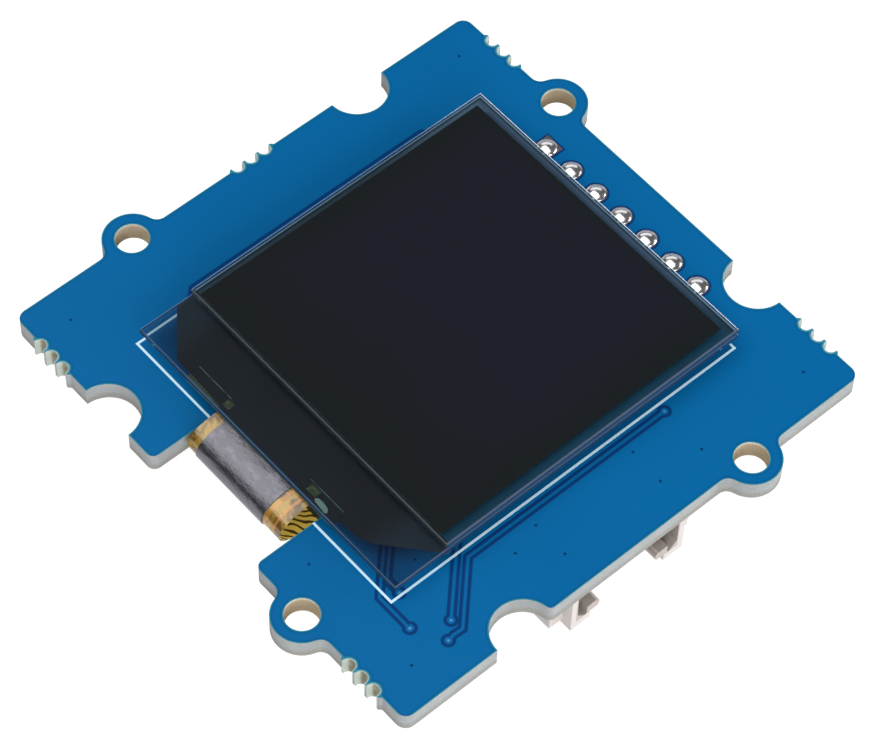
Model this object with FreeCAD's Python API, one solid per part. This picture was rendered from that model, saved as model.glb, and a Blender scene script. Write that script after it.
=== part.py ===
"""A 1.12 inch square display on a 40 mm carrier board, one solid for each physical piece.

Frame: millimetres, the board's front face lies in z = 0 and its centre is the origin.
+Z points out of the display, -X is the side with the ribbon slot, -Y is the socket's side.
"""
import FreeCAD, Part
import math
import os

from FreeCAD import Vector

# Carrier board
board_side = 40.0
board_thickness = 1.6
board_corner_radius = 0.8
ear_offset = 10.0
ear_radius = 2.1
ear_root_radius = 0.8
ear_hole_radius = 1.2
notch_offset = 10.0
notch_radius = 2.25
notch_end_radius = 0.5
bite_radius = 0.45
bite_setoff = 0.12
bite_pitch = 1.18
bites_in_group = 3
stub_height = 0.2
stub_margin = 0.15
side_bite_offset = 15.9
top_bite_offset = 0.5
slot_width = 10.5
slot_under_panel = 0.75
slot_corner_radius = 0.5
slot_mouth_radius = 0.6

# White frame printed round the display
print_gap_length = 0.05
print_line_width = 0.17
print_thickness = 0.03

# Display panel, lying along X with its bare ledge towards the slot
panel_length = 30.1
panel_width = 26.0
panel_shift_x = 0.2
panel_shift_y = -0.05
foam_thickness = 1.1
foam_inset = 0.7
rear_glass_thickness = 0.5
panel_gap = 0.08
front_glass_thickness = 0.52
ledge_width = 4.35
polariser_thickness = 0.16
polariser_inset_left = 0.2
polariser_inset_right = 1.0
polariser_inset_side = 0.8
stack_inset = 1.5
seal_inset = 0.35
seal_width = 0.7

# Black tape under the ledge, with its corners cut off and two windows over the ribbon's bonded end
ledge_tape_thickness = 0.04
ledge_tape_upper_cut = 3.0
ledge_tape_lower_cut_x = 3.4
ledge_tape_lower_cut_y = 4.8
ledge_tape_edge_gap = 0.05
ledge_tape_overlap = 0.5
tape_window_setback = 0.5
tape_window_depth = 0.6
tape_window_upper = (4.35, 5.0)
tape_window_lower = (-4.45, -3.55)

# Driver chip under the ledge
chip_length = 12.0
chip_width = 1.1
chip_thickness = 0.3
chip_setback = 2.0

# Ribbon folded round the slot's end to the board's back
ribbon_thickness = 0.12
ribbon_width = 9.4
ribbon_centre_y = 0.15
bond_length = 1.2
bond_span_y = (-6.5, 8.2)
bend_setoff = 0.2
fold_depth = 2.35
ribbon_back_run = 6.45
ribbon_back_gap = 0.02
cover_thickness = 0.08
cover_glass_gap = 0.05
cover_margin_upper = 0.95
cover_margin_lower = 1.75
cover_back_reach = 1.5
ribbon_solder_count = 14
ribbon_solder_pitch = 0.62
ribbon_solder_width = 0.34
ribbon_solder_length = 1.2
ribbon_solder_height = 0.2
ribbon_solder_chamfer = 0.1

# Seven-way pin header on the back, soldered from the front
header_ways = 7
header_pitch = 2.54
header_panel_gap = 0.67
header_centre_y = -0.1
header_hole_radius = 0.5
header_body_width = 2.5
header_body_height = 2.54
header_body_chamfer = 0.45
pin_width = 0.64
pin_tip_chamfer = 0.16
pin_free_length = 5.8
pad_size = 1.56
pad_thickness = 0.035
solder_radius = 0.7
solder_height = 0.5
solder_cover = 0.25

# Four-way surface-mounted socket on the back
socket_ways = 4
socket_pitch = 2.0
socket_width = 10.0
socket_height = 5.1
socket_depth = 7.9
socket_setback = 0.65
socket_side_wall = 0.55
socket_near_wall = 0.6
socket_far_wall = 0.75
socket_cavity_depth = 5.4
socket_corner_chamfer = 0.6
window_width = 6.6
rib_gap = 5.0
rib_width = 1.1
rib_thickness = 0.8
rib_fillet = 0.3
wing_width = 1.2
wing_height = 4.55
wing_setback = 0.8
wing_depth = 3.9
contact_width = 0.5
contact_height = 1.6
contact_free_length = 3.0
contact_foot_length = 1.6
contact_foot_thickness = 0.25
tab_thickness = 0.3
tab_depth = 2.8
tab_height = 3.2
tab_foot_length = 0.9
tab_wing_wall = 0.4
insert_clearance = 0.03

# Leaded packages on the back: length, width and height of each body
regulator_size = (2.9, 1.6, 1.1)
converter_size = (2.9, 1.6, 1.1)
shifter_size = (2.9, 1.3, 1.0)
diode_size = (2.7, 1.6, 1.1)
lead_width = 0.4
lead_thickness = 0.15
lead_reach = 0.55
lead_pitch = 0.95
package_standoff = 0.1
package_draft = 0.12

# Shielded inductor
inductor_side = 4.0
inductor_height = 1.8
inductor_corner_radius = 0.7
inductor_groove_radius = 1.45
inductor_groove_width = 0.25
inductor_groove_depth = 0.3
inductor_terminal_length = 0.9
inductor_terminal_width = 2.6
inductor_terminal_thickness = 0.1

# Chip capacitors and resistors: length, width and height
large_chip = (2.0, 1.25, 0.95)
small_chip = (1.6, 0.8, 0.8)
flat_chip = (1.6, 0.8, 0.45)
chip_terminal_length = 0.35
chip_terminal_rise = 0.03

# Places on the back: x, y, and the axis that the part lies along
regulator_place = (9.6, -3.6)
converter_place = (-3.6, 2.4)
shifter_places = [(-1.9, -5.2), (2.9, -5.2)]
diode_place = (1.8, 8.6)
inductor_place = (-3.8, 8.6)
capacitor_places = [
    (6.4, 8.6, "y", large_chip),
    (9.4, 8.6, "y", large_chip),
    (-8.6, 8.6, "y", large_chip),
    (5.6, -3.6, "y", small_chip),
    (13.2, -3.6, "y", small_chip),
    (1.0, 2.4, "y", small_chip),
]
resistor_places = [
    (-1.9, -8.0, "x"),
    (2.9, -8.0, "x"),
    (4.4, 2.4, "y"),
    (6.4, 2.4, "y"),
    (8.4, 2.4, "y"),
    (10.4, 2.4, "y"),
    (9.6, -7.2, "x"),
    (-8.6, 12.4, "x"),
]

# Levels and edges that several pieces share
half_side = board_side / 2
back_z = -board_thickness
board_z = (back_z, 0)
glass_z = foam_thickness
panel_x = (panel_shift_x - panel_length / 2, panel_shift_x + panel_length / 2)
panel_y = (panel_shift_y - panel_width / 2, panel_shift_y + panel_width / 2)
print_half_length = panel_length / 2 + print_gap_length
print_half_width = panel_width / 2
slot_end_x = panel_x[0] + slot_under_panel
header_x = panel_x[1] + header_panel_gap + pad_size / 2
front_glass_x = (panel_x[0] + ledge_width, panel_x[1])
gap_z = (glass_z + rear_glass_thickness, glass_z + rear_glass_thickness + panel_gap)
front_glass_z = (gap_z[1], gap_z[1] + front_glass_thickness)
ribbon_top_z = glass_z - ledge_tape_thickness
ribbon_low_z = back_z - ribbon_back_gap - ribbon_thickness
bend_radius = (ribbon_top_z - ribbon_low_z) / 2
bend_z = (ribbon_top_z + ribbon_low_z) / 2
bend_x = panel_x[0] - bend_setoff
ribbon_tail_x = bend_x + ribbon_back_run
ribbon_y = (ribbon_centre_y - ribbon_width / 2, ribbon_centre_y + ribbon_width / 2)
socket_mouth_y = -half_side + socket_setback
socket_rear_y = socket_mouth_y + socket_depth
socket_floor_y = socket_mouth_y + socket_cavity_depth
socket_low_z = back_z - socket_height


def span(centre, width):
    """The low and high coordinates of a stretch about its centre."""
    return (centre - width / 2, centre + width / 2)


def inset(stretch, low, high):
    """A stretch shortened at its two ends."""
    return (stretch[0] + low, stretch[1] - high)


def block(x, y, z):
    """A box between low and high coordinates on each axis."""
    return Part.makeBox(x[1] - x[0], y[1] - y[0], z[1] - z[0], Vector(x[0], y[0], z[0]))


def behind(height):
    """The stretch of z that a piece of this height fills on the board's back."""
    return (back_z - height, back_z)


def upright(radius, x, y, z):
    """A cylinder along Z."""
    return Part.makeCylinder(radius, z[1] - z[0], Vector(x, y, z[0]))


def prism(points, z):
    """A flat outline of (x, y) points made into a solid between two levels."""
    corners = [Vector(x, y, z[0]) for x, y in points]
    outline = Part.makePolygon(corners + corners[:1])
    return Part.Face(outline).extrude(Vector(0, 0, z[1] - z[0]))


def edges_along(shape, axis):
    """The straight edges of a shape that run along one axis."""
    found = []
    for edge in shape.Edges:
        run = edge.Vertexes[-1].Point - edge.Vertexes[0].Point
        if run.Length > 0 and abs(run.dot(axis)) > 0.999 * run.Length:
            found.append(edge)
    return found


def turned(shape, quarter):
    """A copy turned about the board's centre by quarter turns, clockwise from the front."""
    copy = shape.copy()
    copy.rotate(Vector(0, 0, 0), Vector(0, 0, 1), -90 * quarter)
    return copy


def fused(shapes):
    """Solids joined into one, without seams between flush faces."""
    return shapes[0].multiFuse(shapes[1:]).removeSplitter()


def screw_ear():
    """One ear on the +Y edge, blended into the edge by a hollow arc at each side."""
    reach = math.sqrt((ear_radius + ear_root_radius) ** 2 - ear_root_radius ** 2)
    share = ear_radius / (ear_radius + ear_root_radius)
    root_end = 1.5 * math.pi
    root_start = math.pi + math.atan2(ear_root_radius, reach)
    root_middle = (root_start + root_end) / 2
    middle_x = reach + ear_root_radius * math.cos(root_middle)
    middle_y = ear_root_radius + ear_root_radius * math.sin(root_middle)
    touch_x = reach * share
    touch_y = ear_root_radius * share

    def at(x, y):
        return Vector(x - ear_offset, y + half_side, back_z)

    left_root = Part.Arc(at(-reach, 0), at(-middle_x, middle_y), at(-touch_x, touch_y)).toShape()
    crown = Part.Arc(at(-touch_x, touch_y), at(0, ear_radius), at(touch_x, touch_y)).toShape()
    right_root = Part.Arc(at(touch_x, touch_y), at(middle_x, middle_y), at(reach, 0)).toShape()
    chord = Part.makeLine(at(reach, 0), at(-reach, 0))
    outline = Part.Wire([left_root, crown, right_root, chord])
    return Part.Face(outline).extrude(Vector(0, 0, board_thickness))


def bite_group(offset):
    """The stub of a break-off tab on the +Y edge, and the row of holes that cut it."""
    row_length = (bites_in_group - 1) * bite_pitch + 2 * bite_radius
    tip = row_length / 2 + stub_margin
    root = tip + stub_height
    outline = [(offset - root, half_side), (offset + root, half_side),
               (offset + tip, half_side + stub_height), (offset - tip, half_side + stub_height)]
    holes = []
    for index in range(bites_in_group):
        x = offset + (index - (bites_in_group - 1) / 2) * bite_pitch
        holes.append(upright(bite_radius, x, half_side + bite_setoff, board_z))
    return prism(outline, board_z), holes


def header_places():
    """The centre of each way of the pin header, from +Y to -Y."""
    first = header_centre_y + (header_ways - 1) / 2 * header_pitch
    return [(header_x, first - index * header_pitch) for index in range(header_ways)]


def ribbon_slot():
    """The open slot in the -X edge, with rounded inner corners."""
    slot = block((-board_side, slot_end_x), span(0, slot_width), board_z)
    inner = [edge for edge in edges_along(slot, Vector(0, 0, 1)) if edge.CenterOfMass.x > -half_side]
    return slot.makeFillet(slot_corner_radius, inner)


def rounded_corner(board, x, y, radius):
    """The board with the upright edge at one corner of its outline rounded."""
    corner = [edge for edge in edges_along(board, Vector(0, 0, 1))
              if math.hypot(edge.CenterOfMass.x - x, edge.CenterOfMass.y - y) < 0.01]
    return board.makeFillet(radius, corner)


def circuit_board():
    """The board: a square with four ears, four half-round notches, tab stubs and the slot."""
    plate = block(span(0, board_side), span(0, board_side), board_z)
    plate = plate.makeFillet(board_corner_radius, edges_along(plate, Vector(0, 0, 1)))
    added = [turned(screw_ear(), quarter) for quarter in range(4)]
    removed = [ribbon_slot()]
    groups = [(0, top_bite_offset)]
    groups += [(quarter, side * side_bite_offset) for quarter in (1, 3) for side in (-1, 1)]
    for quarter, offset in groups:
        stub, holes = bite_group(offset)
        added.append(turned(stub, quarter))
        removed += [turned(hole, quarter) for hole in holes]
    ear_hole = upright(ear_hole_radius, -ear_offset, half_side, board_z)
    notch = upright(notch_radius, notch_offset, half_side, board_z)
    removed += [turned(ear_hole, quarter) for quarter in range(4)]
    removed += [turned(notch, quarter) for quarter in range(4)]
    removed += [upright(header_hole_radius, x, y, board_z) for x, y in header_places()]
    board = fused([plate] + added).cut(removed)
    for side in (-1, 1):
        board = rounded_corner(board, -half_side, side * slot_width / 2, slot_mouth_radius)
    return rounded_corner(board, notch_radius - notch_offset, -half_side, notch_end_radius)


def printed_frame():
    """The printed outline round the display, open where the slot crosses it."""
    z = (0, print_thickness)
    outer = block(span(0, 2 * print_half_length + print_line_width),
                  span(0, 2 * print_half_width + print_line_width), z)
    inner = block(span(0, 2 * print_half_length - print_line_width),
                  span(0, 2 * print_half_width - print_line_width), z)
    opening = block((-print_half_length - print_line_width, -print_half_length + print_line_width),
                    span(0, slot_width), z)
    return outer.cut([inner, opening])


def foam_tape():
    """The foam pad that carries the panel behind its dark area."""
    x = inset(front_glass_x, foam_inset, foam_inset)
    return block(x, inset(panel_y, foam_inset, foam_inset), (0, foam_thickness))


def rear_glass():
    """The longer glass, whose -X end is the bare ledge."""
    return block(panel_x, panel_y, (glass_z, gap_z[0]))


def front_glass():
    """The shorter glass that faces the viewer."""
    return block(front_glass_x, panel_y, front_glass_z)


def display_stack():
    """The dark film between the two glasses."""
    x = inset(front_glass_x, stack_inset, stack_inset)
    return block(x, inset(panel_y, stack_inset, stack_inset), gap_z)


def edge_seal():
    """The bead of adhesive round the film, between the two glasses."""
    outer = block(inset(front_glass_x, seal_inset, seal_inset),
                  inset(panel_y, seal_inset, seal_inset), gap_z)
    hollow = seal_inset + seal_width
    return outer.cut(block(inset(front_glass_x, hollow, hollow), inset(panel_y, hollow, hollow), gap_z))


def polariser():
    """The dark film on the front glass."""
    z = (front_glass_z[1], front_glass_z[1] + polariser_thickness)
    x = inset(front_glass_x, polariser_inset_left, polariser_inset_right)
    return block(x, inset(panel_y, polariser_inset_side, polariser_inset_side), z)


def ledge_tape():
    """The black tape under the ledge, with cut corners and two windows over the ribbon's bonded end."""
    left = panel_x[0] + ledge_tape_edge_gap
    right = front_glass_x[0] + ledge_tape_overlap
    low = panel_y[0]
    high = panel_y[1]
    outline = [
        (left, low + ledge_tape_lower_cut_y),
        (left + ledge_tape_lower_cut_x, low),
        (right, low),
        (right, high),
        (left + ledge_tape_upper_cut, high),
        (left, high - ledge_tape_upper_cut),
    ]
    z = (glass_z - ledge_tape_thickness, glass_z)
    window_x = (left + tape_window_setback, left + tape_window_setback + tape_window_depth)
    windows = [block(window_x, y, z) for y in (tape_window_upper, tape_window_lower)]
    return prism(outline, z).cut(windows)


def driver_chip():
    """The bare driver chip under the ledge's tape."""
    x = (panel_x[0] + chip_setback, panel_x[0] + chip_setback + chip_width)
    return block(x, span(sum(bond_span_y) / 2, chip_length), (ribbon_top_z - chip_thickness, ribbon_top_z))


def oval_turn(depth, radius, y):
    """Half an oval round the bend towards -X, from the run above to the run below."""
    centre = Vector(bend_x, y, bend_z)
    oval = Part.Ellipse(centre - Vector(depth, 0, 0), centre + Vector(0, 0, radius), centre)
    return Part.ArcOfEllipse(oval, -math.pi / 2, math.pi / 2).toShape()


def folded_band(growth, thickness, top_x, low_x, y):
    """A band laid round the fold: a straight run above, an oval turn and a run below."""

    def at(x, z):
        return Vector(x, y[0], z)

    outer = bend_radius + growth
    inner = outer - thickness
    sides = [
        Part.makeLine(at(top_x, bend_z + outer), at(bend_x, bend_z + outer)),
        oval_turn(fold_depth + growth, outer, y[0]),
        Part.makeLine(at(bend_x, bend_z - outer), at(low_x, bend_z - outer)),
        Part.makeLine(at(low_x, bend_z - outer), at(low_x, bend_z - inner)),
        Part.makeLine(at(low_x, bend_z - inner), at(bend_x, bend_z - inner)),
        oval_turn(fold_depth + growth - thickness, inner, y[0]),
        Part.makeLine(at(bend_x, bend_z + inner), at(top_x, bend_z + inner)),
        Part.makeLine(at(top_x, bend_z + inner), at(top_x, bend_z + outer)),
    ]
    return Part.Face(Part.Wire(sides)).extrude(Vector(0, y[1] - y[0], 0))


def flex_ribbon():
    """The ribbon: bonded under the ledge, folded through the slot and laid on the back."""
    inner_x = panel_x[0] + bond_length
    band = folded_band(0, ribbon_thickness, inner_x, ribbon_tail_x, ribbon_y)
    bond = block((panel_x[0], inner_x), bond_span_y, (ribbon_top_z - ribbon_thickness, ribbon_top_z))
    return fused([band, bond])


def ribbon_cover():
    """The black cover film round the outside of the fold."""
    y = inset(ribbon_y, cover_margin_lower, cover_margin_upper)
    top_x = panel_x[0] - cover_glass_gap
    low_x = bend_x + cover_back_reach
    return folded_band(cover_thickness, cover_thickness, top_x, low_x, y)


def ribbon_solder_row():
    """The row of solder bars that joins the ribbon's tail to the back of the board."""
    bars = []
    for index in range(ribbon_solder_count):
        y = ribbon_centre_y + (index - (ribbon_solder_count - 1) / 2) * ribbon_solder_pitch
        x = (ribbon_tail_x, ribbon_tail_x + ribbon_solder_length)
        bar = block(x, span(y, ribbon_solder_width), behind(ribbon_solder_height))
        middle_z = back_z - ribbon_solder_height / 2
        crown = [edge for edge in edges_along(bar, Vector(1, 0, 0)) if edge.CenterOfMass.z < middle_z]
        bars.append(bar.makeChamfer(ribbon_solder_chamfer, crown))
    return Part.makeCompound(bars)


def header_pads():
    """The ring of bare metal round each hole, square at the first way."""
    z = (0, pad_thickness)
    pads = []
    for index, (x, y) in enumerate(header_places()):
        if index == 0:
            pad = block(span(x, pad_size), span(y, pad_size), z)
        else:
            pad = upright(pad_size / 2, x, y, z)
        pads.append(pad.cut(upright(header_hole_radius, x, y, z)))
    return Part.makeCompound(pads)


def header_pin(x, y):
    """One square pin, from inside its solder joint to its free end behind the board."""
    top = pad_thickness + solder_height - solder_cover
    low = back_z - header_body_height - pin_free_length
    pin = block(span(x, pin_width), span(y, pin_width), (low, top))
    ends = [edge for edge in pin.Edges if abs(edge.Vertexes[0].Z - edge.Vertexes[1].Z) < pin_width / 2]
    return pin.makeChamfer(pin_tip_chamfer, ends)


def solder_joints():
    """A domed joint on each header pad, filling the hole round the pin."""
    sphere = (solder_radius ** 2 + solder_height ** 2) / (2 * solder_height)
    turn = math.asin(min(1.0, solder_radius / sphere)) / 2
    top = pad_thickness + solder_height
    joints = []
    for x, y in header_places():
        crown = Vector(x, y, top)
        flank = Vector(x + sphere * math.sin(turn), y, top - sphere * (1 - math.cos(turn)))
        rim = Vector(x + solder_radius, y, pad_thickness)
        lip = Vector(x + header_hole_radius, y, pad_thickness)
        foot = Vector(x + header_hole_radius, y, back_z)
        axis_foot = Vector(x, y, back_z)
        outline = Part.Wire([
            Part.Arc(crown, flank, rim).toShape(),
            Part.makeLine(rim, lip),
            Part.makeLine(lip, foot),
            Part.makeLine(foot, axis_foot),
            Part.makeLine(axis_foot, crown),
        ])
        joint = Part.Face(outline).revolve(axis_foot, Vector(0, 0, 1), 360)
        joints.append(joint.cut(header_pin(x, y)))
    return Part.makeCompound(joints)


def header_body():
    """The moulded strip of the header, waisted between its ways."""
    ways = []
    holes = []
    for x, y in header_places():
        way = block(span(x, header_body_width), span(y, header_pitch), behind(header_body_height))
        ways.append(way.makeChamfer(header_body_chamfer, edges_along(way, Vector(0, 0, 1))))
        hole = pin_width + 2 * insert_clearance
        holes.append(block(span(x, hole), span(y, hole), behind(header_body_height)))
    return fused(ways).cut(holes)


def socket_contact(index, clearance=0.0):
    """One contact: a pin in the cavity, a leg down the rear face and a foot on the board."""
    x = span((index - (socket_ways - 1) / 2) * socket_pitch, contact_width + 2 * clearance)
    level = span(back_z - contact_height, contact_width + 2 * clearance)
    leg_y = (socket_rear_y - clearance, socket_rear_y + contact_foot_thickness)
    pin_y = (socket_floor_y - contact_free_length, leg_y[1])
    foot_y = (leg_y[0], socket_rear_y + contact_foot_length)
    pin = block(x, pin_y, level)
    leg = block(x, leg_y, (level[0], back_z))
    foot = block(x, foot_y, behind(contact_foot_thickness))
    return fused([pin, leg, foot])


def socket_tab(side, clearance=0.0):
    """One metal tab: a plate held in the socket's wing and a foot on the board."""
    inner = socket_width / 2 + tab_wing_wall - clearance
    outer = socket_width / 2 + tab_wing_wall + tab_thickness + clearance
    reach = socket_width / 2 + wing_width + tab_foot_length
    middle_y = socket_mouth_y + wing_setback + wing_depth / 2
    y = span(middle_y, tab_depth + 2 * clearance)
    plate = block((inner, outer), y, behind(tab_height + clearance))
    foot = block((inner, reach), y, behind(tab_thickness + clearance))
    tab = fused([plate, foot])
    if side < 0:
        tab = tab.mirror(Vector(0, 0, 0), Vector(1, 0, 0))
    return tab


def socket_rib(side):
    """One rail inside the window's edge, with its inner corners rounded."""
    x = sorted([side * rib_gap / 2, side * (rib_gap / 2 + rib_width)])
    level = socket_low_z + socket_far_wall
    rib = block(x, (socket_mouth_y, socket_floor_y), (level, level + rib_thickness))
    tip = [edge for edge in edges_along(rib, Vector(0, 1, 0))
           if abs(edge.CenterOfMass.x) < rib_gap / 2 + rib_width / 2]
    return rib.makeFillet(rib_fillet, tip)


def socket_housing():
    """The moulded shell: open mouth, windowed far wall with two rails, and a wing each side."""
    shell = block(span(0, socket_width), (socket_mouth_y, socket_rear_y), behind(socket_height))
    wing_y = (socket_mouth_y + wing_setback, socket_mouth_y + wing_setback + wing_depth)
    wings = block(span(0, socket_width + 2 * wing_width), wing_y, behind(wing_height))
    cavity_y = (socket_mouth_y, socket_floor_y)
    cavity = block(span(0, socket_width - 2 * socket_side_wall), cavity_y,
                   (socket_low_z + socket_far_wall, back_z - socket_near_wall))
    middle_z = socket_low_z + socket_height / 2
    far_corners = [edge for edge in edges_along(cavity, Vector(0, 1, 0)) if edge.CenterOfMass.z < middle_z]
    cavity = cavity.makeChamfer(socket_corner_chamfer, far_corners)
    window = block(span(0, window_width), cavity_y, (socket_low_z, socket_low_z + socket_far_wall))
    housing = fused([shell, wings]).cut([cavity, window])
    housing = fused([housing, socket_rib(-1), socket_rib(1)])
    inserts = [socket_contact(index, insert_clearance) for index in range(socket_ways)]
    inserts += [socket_tab(side, insert_clearance) for side in (-1, 1)]
    return housing.cut(inserts)


def package_body(place, size):
    """A moulded package on the back, with drafted sides."""
    x, y = place
    length, width, height = size
    base = back_z - package_standoff
    rings = []
    for shrink, depth in ((package_draft, 0), (0, height / 2), (package_draft, height)):
        half_x = length / 2 - shrink
        half_y = width / 2 - shrink
        z = base - depth
        corners = [Vector(x - half_x, y - half_y, z), Vector(x + half_x, y - half_y, z),
                   Vector(x + half_x, y + half_y, z), Vector(x - half_x, y + half_y, z)]
        rings.append(Part.makePolygon(corners + corners[:1]))
    return Part.makeLoft(rings, True, True)


def gull_lead(x, y, side, height):
    """One bent lead from a package's waist down to the board, leaving towards +Y or -Y."""
    waist = back_z - package_standoff - height / 2
    half = lead_thickness / 2
    bend = lead_reach / 2 - half
    outline = [
        (0, waist - half),
        (bend + lead_thickness, waist - half),
        (bend + lead_thickness, back_z - lead_thickness),
        (lead_reach, back_z - lead_thickness),
        (lead_reach, back_z),
        (bend, back_z),
        (bend, waist + half),
        (0, waist + half),
    ]
    corners = [Vector(x - lead_width / 2, y + side * across, z) for across, z in outline]
    face = Part.Face(Part.makePolygon(corners + corners[:1]))
    return face.extrude(Vector(lead_width, 0, 0))


def package_leads(place, size, upper, lower):
    """The leads of a package: steps along X on its +Y side and on its -Y side."""
    x, y = place
    width, height = size[1:]
    leads = [gull_lead(x + offset * lead_pitch, y + width / 2, 1, height) for offset in upper]
    leads += [gull_lead(x + offset * lead_pitch, y - width / 2, -1, height) for offset in lower]
    return Part.makeCompound(leads)


def diode_leads():
    """The two leads of the diode, one at each end along X."""
    x, y = diode_place
    leads = []
    for side in (-1, 1):
        lead = gull_lead(0, diode_size[0] / 2, 1, diode_size[2])
        lead.rotate(Vector(0, 0, 0), Vector(0, 0, 1), -90 * side)
        lead.translate(Vector(x, y, 0))
        leads.append(lead)
    return Part.makeCompound(leads)


def inductor_body():
    """The square ferrite body on its terminals, with the winding's groove on its face."""
    x, y = inductor_place
    low = back_z - inductor_terminal_thickness - inductor_height
    z = (low, back_z - inductor_terminal_thickness)
    body = block(span(x, inductor_side), span(y, inductor_side), z)
    body = body.makeFillet(inductor_corner_radius, edges_along(body, Vector(0, 0, 1)))
    groove_z = (low, low + inductor_groove_depth)
    groove = upright(inductor_groove_radius, x, y, groove_z)
    core = upright(inductor_groove_radius - inductor_groove_width, x, y, groove_z)
    return body.cut(groove.cut(core))


def inductor_terminals():
    """The two plated ends under the inductor."""
    x, y = inductor_place
    middle = inductor_side / 2 - inductor_terminal_length / 2
    plates = []
    for side in (-1, 1):
        plates.append(block(span(x + side * middle, inductor_terminal_length),
                            span(y, inductor_terminal_width), behind(inductor_terminal_thickness)))
    return Part.makeCompound(plates)


def chip_part(x, y, along, size):
    """A chip capacitor or resistor, a little thicker over its two plated ends."""
    length, width, height = size
    body = block(span(0, length), span(0, width), behind(height))
    rise = chip_terminal_rise
    pieces = [body]
    for side in (-1, 1):
        end = span(side * (length - chip_terminal_length) / 2, chip_terminal_length)
        pieces.append(block(end, span(0, width + 2 * rise), behind(height + rise)))
    part = fused(pieces)
    if along == "y":
        part.rotate(Vector(0, 0, 0), Vector(0, 0, 1), 90)
    part.translate(Vector(x, y, 0))
    return part


def make_nodes():
    """Every piece of the module by the name of its node."""
    nodes = {
        "circuit_board": circuit_board(),
        "printed_frame": printed_frame(),
        "foam_tape": foam_tape(),
        "rear_glass": rear_glass(),
        "front_glass": front_glass(),
        "display_stack": display_stack(),
        "edge_seal": edge_seal(),
        "polariser": polariser(),
        "ledge_tape": ledge_tape(),
        "driver_chip": driver_chip(),
        "flex_ribbon": flex_ribbon(),
        "ribbon_cover": ribbon_cover(),
        "ribbon_solder_row": ribbon_solder_row(),
        "header_pads": header_pads(),
        "solder_joints": solder_joints(),
        "header_body": header_body(),
        "socket_housing": socket_housing(),
        "socket_tab_left": socket_tab(-1),
        "socket_tab_right": socket_tab(1),
        "regulator_body": package_body(regulator_place, regulator_size),
        "regulator_leads": package_leads(regulator_place, regulator_size, (-1, 0, 1), (-1, 1)),
        "converter_body": package_body(converter_place, converter_size),
        "converter_leads": package_leads(converter_place, converter_size, (-1, 0, 1), (-1, 0, 1)),
        "diode_body": package_body(diode_place, diode_size),
        "diode_leads": diode_leads(),
        "inductor_body": inductor_body(),
        "inductor_terminals": inductor_terminals(),
    }
    for number, (x, y) in enumerate(header_places(), 1):
        nodes["header_pin_%d" % number] = header_pin(x, y)
    for index in range(socket_ways):
        nodes["socket_contact_%d" % (index + 1)] = socket_contact(index)
    for number, place in enumerate(shifter_places, 1):
        nodes["shifter_body_%d" % number] = package_body(place, shifter_size)
        nodes["shifter_leads_%d" % number] = package_leads(place, shifter_size, (0,), (-1, 1))
    for number, (x, y, along, size) in enumerate(capacitor_places, 1):
        nodes["capacitor_%d" % number] = chip_part(x, y, along, size)
    for number, (x, y, along) in enumerate(resistor_places, 1):
        nodes["resistor_%d" % number] = chip_part(x, y, along, flat_chip)
    return nodes


os.makedirs("parts", exist_ok=True)
for name, shape in make_nodes().items():
    shape.exportStep("parts/%s.step" % name)
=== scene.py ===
"""The looks of a small square display module: materials, fine pieces, light and camera."""
import bmesh
import bpy
import math
from mathutils import Matrix, Vector


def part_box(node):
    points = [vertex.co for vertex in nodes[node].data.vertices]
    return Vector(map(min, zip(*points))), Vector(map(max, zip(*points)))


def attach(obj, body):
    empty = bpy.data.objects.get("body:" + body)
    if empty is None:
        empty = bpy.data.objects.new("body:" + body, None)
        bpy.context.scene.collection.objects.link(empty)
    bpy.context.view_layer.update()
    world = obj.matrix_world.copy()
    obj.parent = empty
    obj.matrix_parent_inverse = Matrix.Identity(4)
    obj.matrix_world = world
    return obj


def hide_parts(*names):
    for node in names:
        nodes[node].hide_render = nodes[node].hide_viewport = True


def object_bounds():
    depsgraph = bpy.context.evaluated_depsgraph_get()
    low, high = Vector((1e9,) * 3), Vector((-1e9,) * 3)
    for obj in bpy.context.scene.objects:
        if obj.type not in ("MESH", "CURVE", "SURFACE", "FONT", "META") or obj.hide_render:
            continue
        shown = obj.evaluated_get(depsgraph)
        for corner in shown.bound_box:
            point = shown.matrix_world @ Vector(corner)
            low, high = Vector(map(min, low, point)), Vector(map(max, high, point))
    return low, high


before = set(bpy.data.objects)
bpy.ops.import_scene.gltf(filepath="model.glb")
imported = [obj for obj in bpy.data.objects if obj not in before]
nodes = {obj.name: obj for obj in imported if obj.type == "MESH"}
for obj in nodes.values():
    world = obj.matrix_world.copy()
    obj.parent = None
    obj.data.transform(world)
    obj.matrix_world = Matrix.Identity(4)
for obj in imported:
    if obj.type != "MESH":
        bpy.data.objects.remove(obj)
cad_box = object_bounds()

MM = 0.001

# Levels and edges of the module, in millimetres
board_front = 0.0
board_back = -1.6
half_board = 20.0
ear_centres = [(-10, 20), (20, 10), (10, -20), (-20, -10)]
notch_centres = [(10, 20), (20, -10), (-10, -20), (-20, 10)]
ear_hole_radius = 1.2
notch_radius = 2.25
slot_half_width = 5.25
slot_end_x = -14.1
header_x = 16.7
header_first_y = 7.52
header_pitch = 2.54
header_ways = 7
pad_radius = 0.78
ear_blend = 1.4
bite_radius = 0.45
bite_setoff = 0.12
bite_pitch = 1.18
side_bite_offset = 15.9
top_bite_offset = 0.5
ear_radius = 2.1
fold_centre = (-15.05, -0.34)
fold_size = (2.35, 1.4)
fold_steps = 44
fold_columns = 12
fold_y = (-4.55, 4.85)
bond_end_x = -13.65
ribbon_thickness = 0.12
cover_thickness = 0.08
film_gap = 0.002
mouth_half_width = 4.6


# Mesh helpers

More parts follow.
